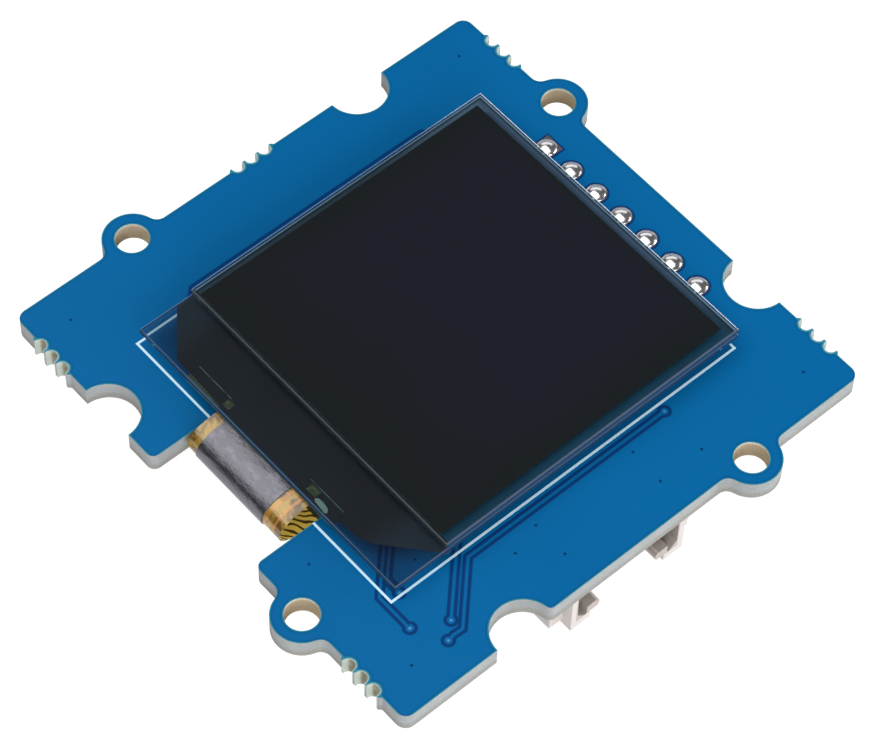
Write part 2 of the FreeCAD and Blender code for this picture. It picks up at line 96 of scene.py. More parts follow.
def box_of(node):
    """The low and high corners of a CAD node, in millimetres."""
    low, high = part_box(node)
    return low / MM, high / MM


def ease(node, width):
    """Breaks the sharp edges of a CAD node with a narrow bevel."""
    piece = nodes[node]
    joined = piece.modifiers.new("joined_points", "WELD")
    joined.merge_threshold = 0.001 * MM
    bevel = piece.modifiers.new("edge_break", "BEVEL")
    bevel.width = width * MM
    bevel.segments = 1
    bevel.limit_method = "ANGLE"
    bevel.angle_limit = math.radians(30)
    bevel.harden_normals = True


class Solids:
    """Closed shapes in millimetres, gathered into the mesh of one piece."""

    def __init__(self):
        self.points = []
        self.faces = []

    def prism(self, outline, low, high):
        """A flat outline of (x, y) points, counted anticlockwise, between two levels."""
        start = len(self.points)
        count = len(outline)
        self.points += [(x, y, low) for x, y in outline]
        self.points += [(x, y, high) for x, y in outline]
        self.faces.append([start + index for index in reversed(range(count))])
        self.faces.append([start + count + index for index in range(count)])
        for index in range(count):
            after = (index + 1) % count
            top = start + count
            self.faces.append([start + index, start + after, top + after, top + index])

    def slab(self, x, y, z):
        """A rectangular block."""
        self.prism([(x[0], y[0]), (x[1], y[0]), (x[1], y[1]), (x[0], y[1])], z[0], z[1])

    def turned(self, centre, profile, steps, lean):
        """A profile of (radius, height) points turned about an upright axis that leans a little."""
        start = len(self.points)
        rings = len(profile)
        for radius, height in profile:
            for step in range(steps):
                angle = 2 * math.pi * step / steps
                self.points.append((centre[0] + radius * math.cos(angle) + lean[0] * height,
                                    centre[1] + radius * math.sin(angle) + lean[1] * height, height))
        for ring in range(rings - 1):
            for step in range(steps):
                after = (step + 1) % steps
                low = start + ring * steps
                high = low + steps
                self.faces.append([low + step, low + after, high + after, high + step])
        self.faces.append([start + step for step in reversed(range(steps))])
        self.faces.append([start + (rings - 1) * steps + step for step in range(steps)])

    def band(self, sections):
        """A closed band through sections that each hold the same number of points in a loop."""
        start = len(self.points)
        count = len(sections[0])
        for section in sections:
            self.points += section
        for index in range(len(sections) - 1):
            for corner in range(count):
                after = (corner + 1) % count
                low = start + index * count
                self.faces.append([low + corner, low + after, low + count + after, low + count + corner])
        self.faces.append([start + corner for corner in reversed(range(count))])
        last = start + (len(sections) - 1) * count
        self.faces.append([last + corner for corner in range(count)])

    def piece(self, name, material, slot=None, smooth=True):
        """The gathered solids as one piece that rides on the module."""
        mesh = bpy.data.meshes.new(name)
        mesh.from_pydata([Vector(point) * MM for point in self.points], [], self.faces)
        mesh.validate()
        shape = bmesh.new()
        shape.from_mesh(mesh)
        bmesh.ops.recalc_face_normals(shape, faces=shape.faces)
        shape.to_mesh(mesh)
        shape.free()
        mesh.polygons.foreach_set("use_smooth", [smooth] * len(mesh.polygons))
        mesh.set_sharp_from_angle(angle=math.radians(40))
        piece = bpy.data.objects.new(name, mesh)
        bpy.context.scene.collection.objects.link(piece)
        mesh.materials.append(material)
        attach(piece, "root")
        return piece


ledge_edge_x = box_of("rear_glass")[0].x


# Shader helpers

def feed(tree, socket, value):
    """Joins a socket to another node's output, or sets it to a plain value."""
    if isinstance(value, bpy.types.NodeSocket):
        tree.links.new(value, socket)
    elif socket.type == "RGBA" and len(value) == 3:
        socket.default_value = (*value, 1)
    else:
        socket.default_value = value


def calc(tree, operation, *values, clamp=False):
    """The result of one Math node."""
    node = tree.nodes.new("ShaderNodeMath")
    node.operation = operation
    node.use_clamp = clamp
    for socket, value in zip(node.inputs, values):
        feed(tree, socket, value)
    return node.outputs[0]


def vector_calc(tree, operation, *values):
    """The result of one Vector Math node."""
    node = tree.nodes.new("ShaderNodeVectorMath")
    node.operation = operation
    for socket, value in zip(node.inputs, values):
        feed(tree, socket, value)
    is_number = operation in ("DOT_PRODUCT", "DISTANCE", "LENGTH")
    return node.outputs["Value" if is_number else "Vector"]


def apart(tree, first, second):
    """How far two values lie apart."""
    return calc(tree, "ABSOLUTE", calc(tree, "SUBTRACT", first, second))


def held(tree, value, reach):
    """A value held between minus and plus a reach."""
    return calc(tree, "MAXIMUM", calc(tree, "MINIMUM", value, reach), -reach)


def flat_length(tree, first, second):
    """The length of a step with two parts at right angles."""
    square = calc(tree, "MULTIPLY", first, first)
    return calc(tree, "SQRT", calc(tree, "ADD", square, calc(tree, "MULTIPLY", second, second)))


def smallest(tree, values):
    """The smallest of several values."""
    result = values[0]
    for value in values[1:]:
        result = calc(tree, "MINIMUM", result, value)
    return result


def nearest(tree, place, centres):
    """The distance from a flat place to the nearest of several centres."""
    return smallest(tree, [vector_calc(tree, "DISTANCE", place, (*centre, 0)) for centre in centres])


def between(tree, value, low, high, start=0.0, end=1.0):
    """A value carried smoothly from one range to another."""
    node = tree.nodes.new("ShaderNodeMapRange")
    node.interpolation_type = "SMOOTHSTEP"
    for socket, number in zip(node.inputs, (value, low, high, start, end)):
        feed(tree, socket, number)
    return node.outputs[0]


def mixed(tree, factor, first, second):
    """Two colours mixed by a factor."""
    node = tree.nodes.new("ShaderNodeMix")
    node.data_type = "RGBA"
    feed(tree, node.inputs[0], factor)
    feed(tree, node.inputs[6], first)
    feed(tree, node.inputs[7], second)
    return node.outputs[2]


def noise(tree, place, scale, detail=3.0, rough=0.5):
    """Smooth random values over the surface, with the scale counted per millimetre."""
    node = tree.nodes.new("ShaderNodeTexNoise")
    feed(tree, node.inputs["Vector"], place)
    feed(tree, node.inputs["Scale"], scale)
    node.inputs["Detail"].default_value = detail
    node.inputs["Roughness"].default_value = rough
    return node.outputs["Fac"]


def place_in_mm(tree):
    """The surface point in the row frame, in millimetres."""
    coordinates = tree.nodes.new("ShaderNodeTexCoord")
    return vector_calc(tree, "SCALE", coordinates.outputs["Object"], (0, 0, 0), (0, 0, 0), 1 / MM)


def split(tree, vector):
    """The three parts of a vector."""
    parts = tree.nodes.new("ShaderNodeSeparateXYZ")
    tree.links.new(vector, parts.inputs[0])
    return parts.outputs


def facing(tree):
    """The three parts of the surface's own direction."""
    coordinates = tree.nodes.new("ShaderNodeTexCoord")
    return split(tree, coordinates.outputs["Normal"])


def effect_group(name, inputs, outputs):
    """An empty shader effect with named sockets."""
    tree = bpy.data.node_groups.new(name, "ShaderNodeTree")
    for label, kind, value in inputs:
        socket = tree.interface.new_socket(name=label, in_out="INPUT", socket_type=kind)
        if value is not None:
            socket.default_value = value
    for label, kind in outputs:
        tree.interface.new_socket(name=label, in_out="OUTPUT", socket_type=kind)
    return tree, tree.nodes.new("NodeGroupInput").outputs, tree.nodes.new("NodeGroupOutput").inputs


def placed(tree, group, **values):
    """An effect placed in a material, and its outputs."""
    node = tree.nodes.new("ShaderNodeGroup")
    node.node_tree = group
    for label, value in values.items():
        feed(tree, node.inputs[label], value)
    return node.outputs


FLOAT = "NodeSocketFloat"
COLOUR = "NodeSocketColor"
VECTOR = "NodeSocketVector"


def make_colour_drift():
    """Slow, faint drift of a colour over a surface, with fine specks in it."""
    tree, given, made = effect_group(
        "colour_drift",
        [("Place", VECTOR, None), ("Colour", COLOUR, None), ("Scale", FLOAT, 0.1), ("Amount", FLOAT, 0.1),
         ("Speck", FLOAT, 0.03)],
        [("Colour", COLOUR)])
    slow = noise(tree, given["Place"], given["Scale"], 4.0, 0.55)
    fine = noise(tree, given["Place"], calc(tree, "MULTIPLY", given["Scale"], 40.0), 2.0, 0.6)
    drift = calc(tree, "MULTIPLY", calc(tree, "SUBTRACT", slow, 0.5), given["Amount"])
    speck = calc(tree, "MULTIPLY", calc(tree, "SUBTRACT", fine, 0.5), given["Speck"])
    gain = calc(tree, "ADD", calc(tree, "ADD", drift, speck), 1.0)
    tree.links.new(vector_calc(tree, "SCALE", given["Colour"], (0, 0, 0), (0, 0, 0), gain), made["Colour"])
    return tree


def make_surface_grain():
    """Fine grain: a roughness that varies over the surface, and a height for a bump."""
    tree, given, made = effect_group(
        "surface_grain",
        [("Place", VECTOR, None), ("Scale", FLOAT, 4.0), ("Roughness", FLOAT, 0.4), ("Spread", FLOAT, 0.1)],
        [("Roughness", FLOAT), ("Height", FLOAT)])
    grain = noise(tree, given["Place"], given["Scale"], 5.0, 0.6)
    patch = noise(tree, given["Place"], calc(tree, "MULTIPLY", given["Scale"], 0.15), 2.0, 0.5)
    uneven = calc(tree, "SUBTRACT", calc(tree, "ADD", grain, patch), 1.0)
    swing = calc(tree, "MULTIPLY", uneven, given["Spread"])
    tree.links.new(calc(tree, "ADD", given["Roughness"], swing, clamp=True), made["Roughness"])
    tree.links.new(grain, made["Height"])
    return tree


def make_line_distance():
    """The flat distance from a point to one straight run of a track."""
    tree, given, made = effect_group(
        "line_distance",
        [("Place", VECTOR, None), ("Start", VECTOR, None), ("Run", VECTOR, None), ("Unit", VECTOR, None)],
        [("Distance", FLOAT)])
    away = vector_calc(tree, "SUBTRACT", given["Place"], given["Start"])
    share = calc(tree, "ADD", vector_calc(tree, "DOT_PRODUCT", away, given["Unit"]), 0.0, clamp=True)
    foot = vector_calc(tree, "SCALE", given["Run"], (0, 0, 0), (0, 0, 0), share)
    tree.links.new(vector_calc(tree, "DISTANCE", away, foot), made["Distance"])
    return tree


colour_drift = make_colour_drift()
surface_grain = make_surface_grain()
line_distance = make_line_distance()


def principled(name, **settings):
    """A material with one Principled BSDF, its plain values set on the shader's own sockets."""
    material = bpy.data.materials.new(name)
    material.use_nodes = True
    tree = material.node_tree
    shader = tree.nodes["Principled BSDF"]
    for label, value in settings.items():
        feed(tree, shader.inputs[label.replace("_", " ")], value)
    return material, tree, shader


def bumped(tree, shader, height, depth, strength=1.0):
    """Feeds a height in millimetres through a Bump node to the shader's normal."""
    bump = tree.nodes.new("ShaderNodeBump")
    bump.inputs["Strength"].default_value = strength
    bump.inputs["Distance"].default_value = depth * MM
    tree.links.new(height, bump.inputs["Height"])
    tree.links.new(bump.outputs["Normal"], shader.inputs["Normal"])


def drifted(tree, place, colour, scale, amount, speck):
    """A colour with the slow drift and the specks placed on it."""
    made = placed(tree, colour_drift, Place=place, Colour=colour, Scale=scale, Amount=amount, Speck=speck)
    return made["Colour"]


def grained(tree, shader, place, scale, roughness, spread):
    """Gives a shader an uneven roughness, and the height of the same grain for a bump."""
    made = placed(tree, surface_grain, Place=place, Scale=scale, Roughness=roughness, Spread=spread)
    tree.links.new(made["Roughness"], shader.inputs["Roughness"])
    return made["Height"]


def plain_finish(name, colour, roughness, drift=0.1, speck=0.05, drift_scale=0.3, grain_scale=6.0,
                 spread=0.1, grain_depth=0.01, **settings):
    """A finish with colour drift, uneven roughness and a fine bump."""
    material, tree, shader = principled(name, **settings)
    place = place_in_mm(tree)
    coloured = drifted(tree, place, colour, drift_scale, drift, speck)
    tree.links.new(coloured, shader.inputs["Base Color"])
    bumped(tree, shader, grained(tree, shader, place, grain_scale, roughness, spread), grain_depth)
    return material


# Tracks under the solder mask: each is a run of (x, y) points, and the ends that carry a via
front_tracks = [
    ([(-15.45, -15.2), (-15.45, -12.25), (-12.2, -9.0)], [0]),
    ([(-13.05, -16.45), (-8.6, -12.0)], [0]),
    ([(-14.15, -17.45), (-13.6, -17.35), (-12.9, -17.4), (-9.15, -13.65), (8.1, -13.65)], [0, 4]),
    ([(-14.25, -12.8), (-14.25, -11.6), (-11.9, -9.25)], [0]),
    ([(-9.9, 13.6), (-9.4, 14.1), (10.9, 14.1), (11.4, 13.6)], []),
]
back_tracks = [
    ([(-7.5, -3.4), (-5.4, -3.4), (-4.6, -2.6), (-4.6, 0.4)], []),
    ([(-7.5, 3.0), (-6.4, 4.1), (-6.4, 8.6)], []),
    ([(16.7, 7.52), (13.6, 10.6), (-0.4, 10.6)], []),
    ([(16.7, 4.98), (14.2, 4.98), (12.8, 6.4), (3.4, 6.4)], []),
    ([(16.7, -5.18), (13.8, -8.1), (4.4, -8.1)], []),
    ([(16.7, -7.72), (14.6, -9.8), (3.0, -9.8), (3.0, -11.2)], []),
    ([(-1.0, -11.2), (-1.0, -6.6)], []),
    ([(1.0, -11.2), (1.0, -4.2), (2.0, -3.2)], []),
    ([(-3.0, -11.2), (-3.0, -9.8), (-5.2, -9.8), (-15.4, -15.2)], [3]),
]
small_vias = [
    (-17.3, 17.4), (17.4, 17.55), (17.3, -17.35), (-17.1, -17.3), (-17.3, -7.45), (7.95, -17.4),
    (4.2, -17.45), (-4.25, -17.5), (-6.65, -15.4), (-4.25, -14.7), (4.35, -14.65), (-11.95, -11.65),
]
track_half_width = 0.1
track_gap = 0.24
via_radius = 0.26
out_of_reach = 100.0


def track_field(tree, place, tracks):
    """The distances to the nearest track's middle and to the nearest via's middle."""
    runs = []
    vias = []
    for points, ends in tracks:
        for start, end in zip(points, points[1:]):
            run = Vector((end[0] - start[0], end[1] - start[1], 0))
            unit = run / run.length_squared
            measured = placed(tree, line_distance, Place=place, Start=(*start, 0), Run=run, Unit=unit)
            runs.append(measured["Distance"])
        vias += [vector_calc(tree, "DISTANCE", place, (*points[end], 0)) for end in ends]
    return smallest(tree, runs), smallest(tree, vias)


def make_bite_distance():
    """The distance to the nearest of three bite holes in a row, counted from the row's middle."""
    tree, given, made = effect_group("bite_distance", [("Out", FLOAT, None), ("Along", FLOAT, None)],
                                     [("Distance", FLOAT)])
    way = held(tree, calc(tree, "ROUND", calc(tree, "DIVIDE", given["Along"], bite_pitch)), 1.0)
    along = calc(tree, "SUBTRACT", given["Along"], calc(tree, "MULTIPLY", way, bite_pitch))
    out = calc(tree, "SUBTRACT", given["Out"], half_board + bite_setoff)
    tree.links.new(flat_length(tree, along, out), made["Distance"])
    return tree


bite_distance = make_bite_distance()


def off_side(tree, x, y):
    """How far a point lies inside the board's straight sides."""
    wide = calc(tree, "MAXIMUM", calc(tree, "ABSOLUTE", x), calc(tree, "ABSOLUTE", y))
    return calc(tree, "SUBTRACT", half_board, wide)


def outline_field(tree, x, y, flat, holes, bites):
    """How far a point of the board lies inside its outline and off its screw and bite holes."""
    inside = calc(tree, "SMOOTH_MAX", off_side(tree, x, y), calc(tree, "SUBTRACT", ear_radius, holes),
                  ear_blend)
    off_hole = calc(tree, "SUBTRACT", holes, ear_hole_radius)
    off_bite = calc(tree, "SUBTRACT", bites, bite_radius + 0.1)
    off_notch = calc(tree, "SUBTRACT", nearest(tree, flat, notch_centres), notch_radius)
    off_slot = calc(tree, "MAXIMUM", calc(tree, "SUBTRACT", calc(tree, "ABSOLUTE", y), slot_half_width),
                    calc(tree, "SUBTRACT", x, slot_end_x))
    return smallest(tree, [inside, off_hole, off_bite, off_notch, off_slot])


def pad_field(tree, x, y):
    """The distance to the rim of the nearest header pad; the first pad is square."""
    half_row = (header_ways - 1) / 2 * header_pitch
    row_middle = header_first_y - half_row
    from_middle = calc(tree, "SUBTRACT", y, row_middle)
    way = calc(tree, "ROUND", calc(tree, "DIVIDE", held(tree, from_middle, half_row), header_pitch))
    across = apart(tree, x, header_x)
    along = apart(tree, from_middle, calc(tree, "MULTIPLY", way, header_pitch))
    round_distance = flat_length(tree, across, along)
    square_distance = calc(tree, "MAXIMUM", across, along)
    first = calc(tree, "GREATER_THAN", from_middle, half_row - header_pitch / 2)
    node = tree.nodes.new("ShaderNodeMix")
    feed(tree, node.inputs[0], first)
    feed(tree, node.inputs[2], round_distance)
    feed(tree, node.inputs[3], square_distance)
    return calc(tree, "SUBTRACT", node.outputs[0], pad_radius)


def mask_colour(tree, place, flat, x, y, z, rim, bites):
    """Blue solder mask: dark beside tracks and rings, light at the rim, partly where the thin mask edge
    shows the laminate and partly as a painted highlight on its rounded edge, and bare at the bite holes.
    """
    on_back = calc(tree, "LESS_THAN", z, board_back / 2)
    on_front = calc(tree, "SUBTRACT", 1.0, on_back)
    front_line, front_via = track_field(tree, flat, front_tracks)
    back_line, back_via = track_field(tree, flat, back_tracks)
    front_line = calc(tree, "ADD", front_line, calc(tree, "MULTIPLY", on_back, out_of_reach))
    back_line = calc(tree, "ADD", back_line, calc(tree, "MULTIPLY", on_front, out_of_reach))
    line = calc(tree, "MINIMUM", front_line, back_line)
    via = calc(tree, "MINIMUM", front_via, back_via)
    dots = nearest(tree, flat, small_vias)
    track = calc(tree, "MINIMUM", calc(tree, "SUBTRACT", line, track_half_width),
                 calc(tree, "SUBTRACT", via, via_radius))
    gap = calc(tree, "SUBTRACT", apart(tree, track, track_gap / 2), track_gap / 2)
    rings = calc(tree, "MINIMUM", calc(tree, "SUBTRACT", pad_field(tree, x, y), 0.14),
                 calc(tree, "SUBTRACT", dots, 0.1))
    copper = between(tree, calc(tree, "MINIMUM", gap, rings), -0.04, 0.04)
    hole_dot = between(tree, via, 0.06, 0.13, 0.7, 0.0)
    pin_dot = between(tree, dots, 0.05, 0.13, 0.75, 0.0)
    mask = mixed(tree, copper, (0.003, 0.038, 0.155), (0.0025, 0.117, 0.316))
    mask = mixed(tree, between(tree, rim, 0.16, 0.26, 0.4, 0.0), mask, (0.002, 0.055, 0.17))
    # A light teal line at the rim: partly laminate seen through the thin edge of the mask, partly a painted
    # highlight on its rounded edge.
    mask = mixed(tree, between(tree, rim, 0.05, 0.13, 0.9, 0.0), mask, (0.018, 0.21, 0.30))
    mask = mixed(tree, hole_dot, mask, (0.11, 0.30, 0.52))
    mask = mixed(tree, pin_dot, mask, (0.002, 0.02, 0.07))
    mask = drifted(tree, place, mask, 0.06, 0.16, 0.02)
    ragged = calc(tree, "MULTIPLY", noise(tree, place, 3.0, 2.0), 0.15)
    off_bite = calc(tree, "SUBTRACT", calc(tree, "SUBTRACT", bites, bite_radius), ragged)
    return mixed(tree, between(tree, off_bite, -0.03, 0.02, 0.8, 0.0), mask, (0.42, 0.50, 0.50))


def wall_colour(tree, place, x, y, z, holes, bites):
    """Layered laminate: pale in the bored holes, browned along the sides, and dark at the slot's end as
    painted shade.
    """
    layers = tree.nodes.new("ShaderNodeTexWave")
    layers.bands_direction = "Z"
    layers.inputs["Scale"].default_value = 1.6
    layers.inputs["Distortion"].default_value = 4.0
    layers.inputs["Detail"].default_value = 2.0
    tree.links.new(vector_calc(tree, "MULTIPLY", place, (0.25, 0.25, 1.0)), layers.inputs["Vector"])
    laminate = mixed(tree, layers.outputs["Fac"], (0.31, 0.335, 0.345), (0.44, 0.46, 0.465))
    laminate = mixed(tree, between(tree, z, -1.35, -0.75, 0.8, 0.0), laminate, (0.31, 0.30, 0.27))
    laminate = drifted(tree, place, laminate, 0.6, 0.25, 0.2)
    # Pale near the top of each bored hole and browner deeper in: partly the laminate's own tan, partly
    # painted shade inside the hole.
    bored = mixed(tree, between(tree, z, -0.35, -0.05), (0.56, 0.43, 0.26), (0.80, 0.76, 0.66))
    in_hole = between(tree, calc(tree, "SUBTRACT", holes, ear_hole_radius), 0.15, 0.25, 0.75, 0.0)
    wall = mixed(tree, in_hole, laminate, bored)
    in_bite = between(tree, calc(tree, "SUBTRACT", bites, bite_radius), 0.05, 0.11, 1.0, 0.0)
    wall = mixed(tree, in_bite, wall, (0.60, 0.66, 0.60))
    patches = between(tree, noise(tree, place, 1.6, 2.0), 0.3, 0.6, 0.65, 0.95)
    browned = calc(tree, "MULTIPLY", between(tree, off_side(tree, x, y), 0.08, 0.26), patches)
    wall = mixed(tree, calc(tree, "MULTIPLY", browned, in_bite), wall, (0.27, 0.25, 0.16))
    # Painted shade: the end wall of the slot is turned dark teal, as it lies in shadow under the glass.
    at_slot_end = calc(tree, "SUBTRACT", 0.1, apart(tree, x, slot_end_x))
    within_slot = calc(tree, "SUBTRACT", slot_half_width, calc(tree, "ABSOLUTE", y))
    slot_end_shade = calc(tree, "MINIMUM", at_slot_end, within_slot)
    return mixed(tree, between(tree, slot_end_shade, 0.0, 0.05, 0.0, 0.85), wall, (0.01, 0.05, 0.06))


def make_board_finish():
    """Blue solder mask on the faces and sawn laminate on the walls."""
    material, tree, shader = principled("board_mask_and_laminate", Specular_IOR_Level=0.03)
    place = place_in_mm(tree)
    flat = vector_calc(tree, "MULTIPLY", place, (1, 1, 0))
    x, y, z = split(tree, place)
    holes = nearest(tree, flat, ear_centres)
    side_along = calc(tree, "SUBTRACT", calc(tree, "ABSOLUTE", y), side_bite_offset)
    side_bites = placed(tree, bite_distance, Out=calc(tree, "ABSOLUTE", x), Along=side_along)["Distance"]
    top_along = calc(tree, "SUBTRACT", x, top_bite_offset)
    top_bites = placed(tree, bite_distance, Out=y, Along=top_along)["Distance"]
    bites = calc(tree, "MINIMUM", side_bites, top_bites)
    rim = outline_field(tree, x, y, flat, holes, bites)
    mask = mask_colour(tree, place, flat, x, y, z, rim, bites)
    wall = wall_colour(tree, place, x, y, z, holes, bites)
    on_face = calc(tree, "GREATER_THAN", calc(tree, "ABSOLUTE", facing(tree)[2]), 0.5)
    tree.links.new(mixed(tree, on_face, wall, mask), shader.inputs["Base Color"])
    mask_grain = placed(tree, surface_grain, Place=place, Scale=3.0, Roughness=0.2, Spread=0.06)
    sawn_grain = placed(tree, surface_grain, Place=place, Scale=9.0, Roughness=0.75, Spread=0.15)
    roughness = between(tree, on_face, 0.0, 1.0, sawn_grain["Roughness"], mask_grain["Roughness"])
    tree.links.new(roughness, shader.inputs["Roughness"])
    relief = between(tree, on_face, 0.0, 1.0, calc(tree, "MULTIPLY", sawn_grain["Height"], 0.08),
                     calc(tree, "MULTIPLY", mask_grain["Height"], 0.0015))
    bumped(tree, shader, relief, 1.0, 0.8)
    return material


def make_glass():
    """Thin display glass whose bevels and cut sides are painted matt: painted highlights on the far ones,
    the painted see-through colour of the board and tape on the near ones; light that falls through it to
    the board isn't blocked, only tinted grey, partly as painted shade.
    """
    # The grey tint of the glass, and of the light that passes it, is partly the glass's own colour and
    # partly painted shade on the board below.
    material, tree, shader = principled("display_glass_clear", Base_Color=(0.60, 0.64, 0.66), Roughness=0.0,
                                        IOR=1.5, Transmission_Weight=1.0)
    x, y, z = split(tree, place_in_mm(tree))
    facing_x, facing_y, facing_z = facing(tree)
    level = calc(tree, "ABSOLUTE", facing_z)
    # Bevels and cut sides are mixed with a matt shader that carries painted colours: highlights on the far
    # ones, see-through colours on the near ones.
    far = calc(tree, "GREATER_THAN", calc(tree, "MAXIMUM", facing_x, facing_y), 0.3)
    cut_side = calc(tree, "LESS_THAN", level, 0.2)
    broken_edge = calc(tree, "SUBTRACT", calc(tree, "LESS_THAN", level, 0.97), cut_side)
    painted_bevel_share = calc(tree, "MULTIPLY", broken_edge, 0.9)
    painted_edge_share = calc(tree, "MAXIMUM", painted_bevel_share, calc(tree, "MULTIPLY", cut_side, 0.72))
    on_front_glass = calc(tree, "GREATER_THAN", z, box_of("front_glass")[0].z)
    # Painted highlight on the far bevels: white on the right, and brightening towards the right along the
    # upper one; lilac on the far cut sides.
    upper_bevel_highlight = mixed(tree, between(tree, x, 8.0, 14.5), (0.27, 0.34, 0.53), (0.75, 0.85, 0.98))
    far_bevel_highlight = mixed(tree, calc(tree, "GREATER_THAN", facing_y, 0.3), (0.90, 0.95, 1.0), upper_bevel_highlight)
    # Painted see-through colours of the board, the tape and their shade on the near bevels and near cut
    # sides.
    ledge_edge = mixed(tree, on_front_glass, (0.048, 0.100, 0.185), (0.066, 0.080, 0.084))
    lower_facing = calc(tree, "LESS_THAN", facing_y, -0.3)
    near_bevel_view = mixed(tree, lower_facing, ledge_edge, (0.078, 0.090, 0.132))
    painted_bevel_colour = mixed(tree, far, near_bevel_view, far_bevel_highlight)
    ledge_side_view = mixed(tree, on_front_glass, (0.020, 0.060, 0.115), (0.036, 0.046, 0.054))
    near_side_view = mixed(tree, lower_facing, ledge_side_view, (0.010, 0.062, 0.150))
    painted_side_colour = mixed(tree, far, near_side_view, (0.24, 0.24, 0.34))
    open_part = calc(tree, "MULTIPLY", cut_side, 0.9)
    see_through = tree.nodes.new("ShaderNodeBsdfTransparent")
    see_through.inputs["Color"].default_value = (0.56, 0.72, 0.84, 1)
    matt = tree.nodes.new("ShaderNodeBsdfDiffuse")
    tree.links.new(mixed(tree, cut_side, painted_bevel_colour, painted_side_colour), matt.inputs["Color"])
    clear = tree.nodes.new("ShaderNodeBsdfTransparent")
    clear.inputs["Color"].default_value = (0.46, 0.62, 0.65, 1)
    path = tree.nodes.new("ShaderNodeLightPath")
    unseen = calc(tree, "MAXIMUM", path.outputs["Is Shadow Ray"], path.outputs["Is Diffuse Ray"])
    surface = shader.outputs[0]
    for factor, other in ((open_part, see_through), (painted_edge_share, matt), (unseen, clear)):
        mix = tree.nodes.new("ShaderNodeMixShader")
        tree.links.new(factor, mix.inputs[0])
        tree.links.new(surface, mix.inputs[1])
        tree.links.new(other.outputs[0], mix.inputs[2])
        surface = mix.outputs[0]
    tree.links.new(surface, tree.nodes["Material Output"].inputs["Surface"])
    return material


def make_polariser_finish():
    """Smooth near-black film, bluer over the picture area and more neutral towards its edges."""
    material, tree, shader = principled("polariser_dark_film", Specular_IOR_Level=0.35)
    place = place_in_mm(tree)
    x, y = split(tree, place)[:2]
    low, high = box_of("polariser")
    from_side = calc(tree, "SUBTRACT", (high.y - low.y) / 2, calc(tree, "ABSOLUTE", y))
    from_ledge = calc(tree, "MULTIPLY", calc(tree, "SUBTRACT", x, low.x), 0.35)
    from_right = calc(tree, "MULTIPLY", calc(tree, "SUBTRACT", high.x + 0.05, x), 4.0)
    inner = smallest(tree, [from_side, from_ledge, from_right])
    cloud = calc(tree, "MULTIPLY", noise(tree, place, 0.18, 3.0), 2.5)
    tint = between(tree, calc(tree, "ADD", inner, cloud), 1.0, 5.5)
    colour = mixed(tree, tint, (0.0085, 0.0112, 0.0125), (0.0105, 0.0122, 0.0190))
    tree.links.new(colour, shader.inputs["Base Color"])
    grained(tree, shader, place, 1.2, 0.06, 0.04)
    return material


def make_ribbon_finish():
    """Amber film over copper: glossy and mottled outside, dark conductors inside on an amber face with a
    painted glow, dull where bonded.
    """
    material, tree, shader = principled("ribbon_amber_film", Coat_IOR=2.2, Coat_Roughness=0.12)
    place = place_in_mm(tree)
    x, y, z = split(tree, place)
    blotch = noise(tree, place, 0.8, 3.0, 0.6)
    outer = mixed(tree, between(tree, blotch, 0.42, 0.58), (0.125, 0.062, 0.006), (0.38, 0.235, 0.035))
    cover_end_y = box_of("ribbon_cover")[0].y
    near_cover = calc(tree, "MINIMUM", apart(tree, y, cover_end_y - 0.3), apart(tree, y, cover_end_y - 1.1))
    outer = mixed(tree, between(tree, near_cover, 0.06, 0.16, 0.7, 0.0), outer, (0.55, 0.22, 0.035))
    wave = calc(tree, "MULTIPLY", noise(tree, place, 0.8, 1.0), 1.3)
    slant = calc(tree, "ADD", calc(tree, "ADD", y, x), wave)
    lane = calc(tree, "FRACT", calc(tree, "DIVIDE", slant, 0.6))
    conductor = between(tree, apart(tree, lane, 0.5), 0.16, 0.24, 1.0, 0.0)
    inner = mixed(tree, conductor, (0.62, 0.44, 0.075), (0.06, 0.035, 0.006))
    past_centre = calc(tree, "MINIMUM", calc(tree, "SUBTRACT", x, fold_centre[0]), 0.0)
    deep = calc(tree, "DIVIDE", past_centre, fold_size[0] - ribbon_thickness / 2)
    from_centre = calc(tree, "SUBTRACT", z, fold_centre[1])
    high = calc(tree, "DIVIDE", from_centre, fold_size[1] - ribbon_thickness / 2)
    past_edge = calc(tree, "SUBTRACT", x, ledge_edge_x - 0.01)
    near_glass = calc(tree, "SUBTRACT", z, box_of("flex_ribbon")[1].z - ribbon_thickness - 0.01)
    bonded = calc(tree, "GREATER_THAN", calc(tree, "MINIMUM", past_edge, near_glass), 0.0)
    free = calc(tree, "SUBTRACT", 1.0, bonded)
    inside = calc(tree, "MULTIPLY", calc(tree, "LESS_THAN", flat_length(tree, deep, high), 1.0), free)
    colour = mixed(tree, bonded, mixed(tree, inside, outer, inner), (0.150, 0.132, 0.055))
    colour = drifted(tree, place, colour, 0.6, 0.4, 0.1)
    tree.links.new(colour, shader.inputs["Base Color"])
    copper = calc(tree, "SUBTRACT", 1.0, calc(tree, "MAXIMUM", inside, bonded))
    tree.links.new(calc(tree, "MULTIPLY", copper, 0.3), shader.inputs["Metallic"])
    tree.links.new(calc(tree, "MULTIPLY", free, 0.42), shader.inputs["Coat Weight"])
    # Painted glow: the inner face emits its own amber light, standing in for light that passes through the
    # film.
    through = mixed(tree, inside, (0.0, 0.0, 0.0), inner)
    tree.links.new(through, shader.inputs["Emission Color"])
    shader.inputs["Emission Strength"].default_value = 0.42
    grain = grained(tree, shader, place, 1.5, 0.26, 0.12)
    bumped(tree, shader, calc(tree, "ADD", calc(tree, "MULTIPLY", blotch, 8.0), grain), 0.03, 0.7)
    return material


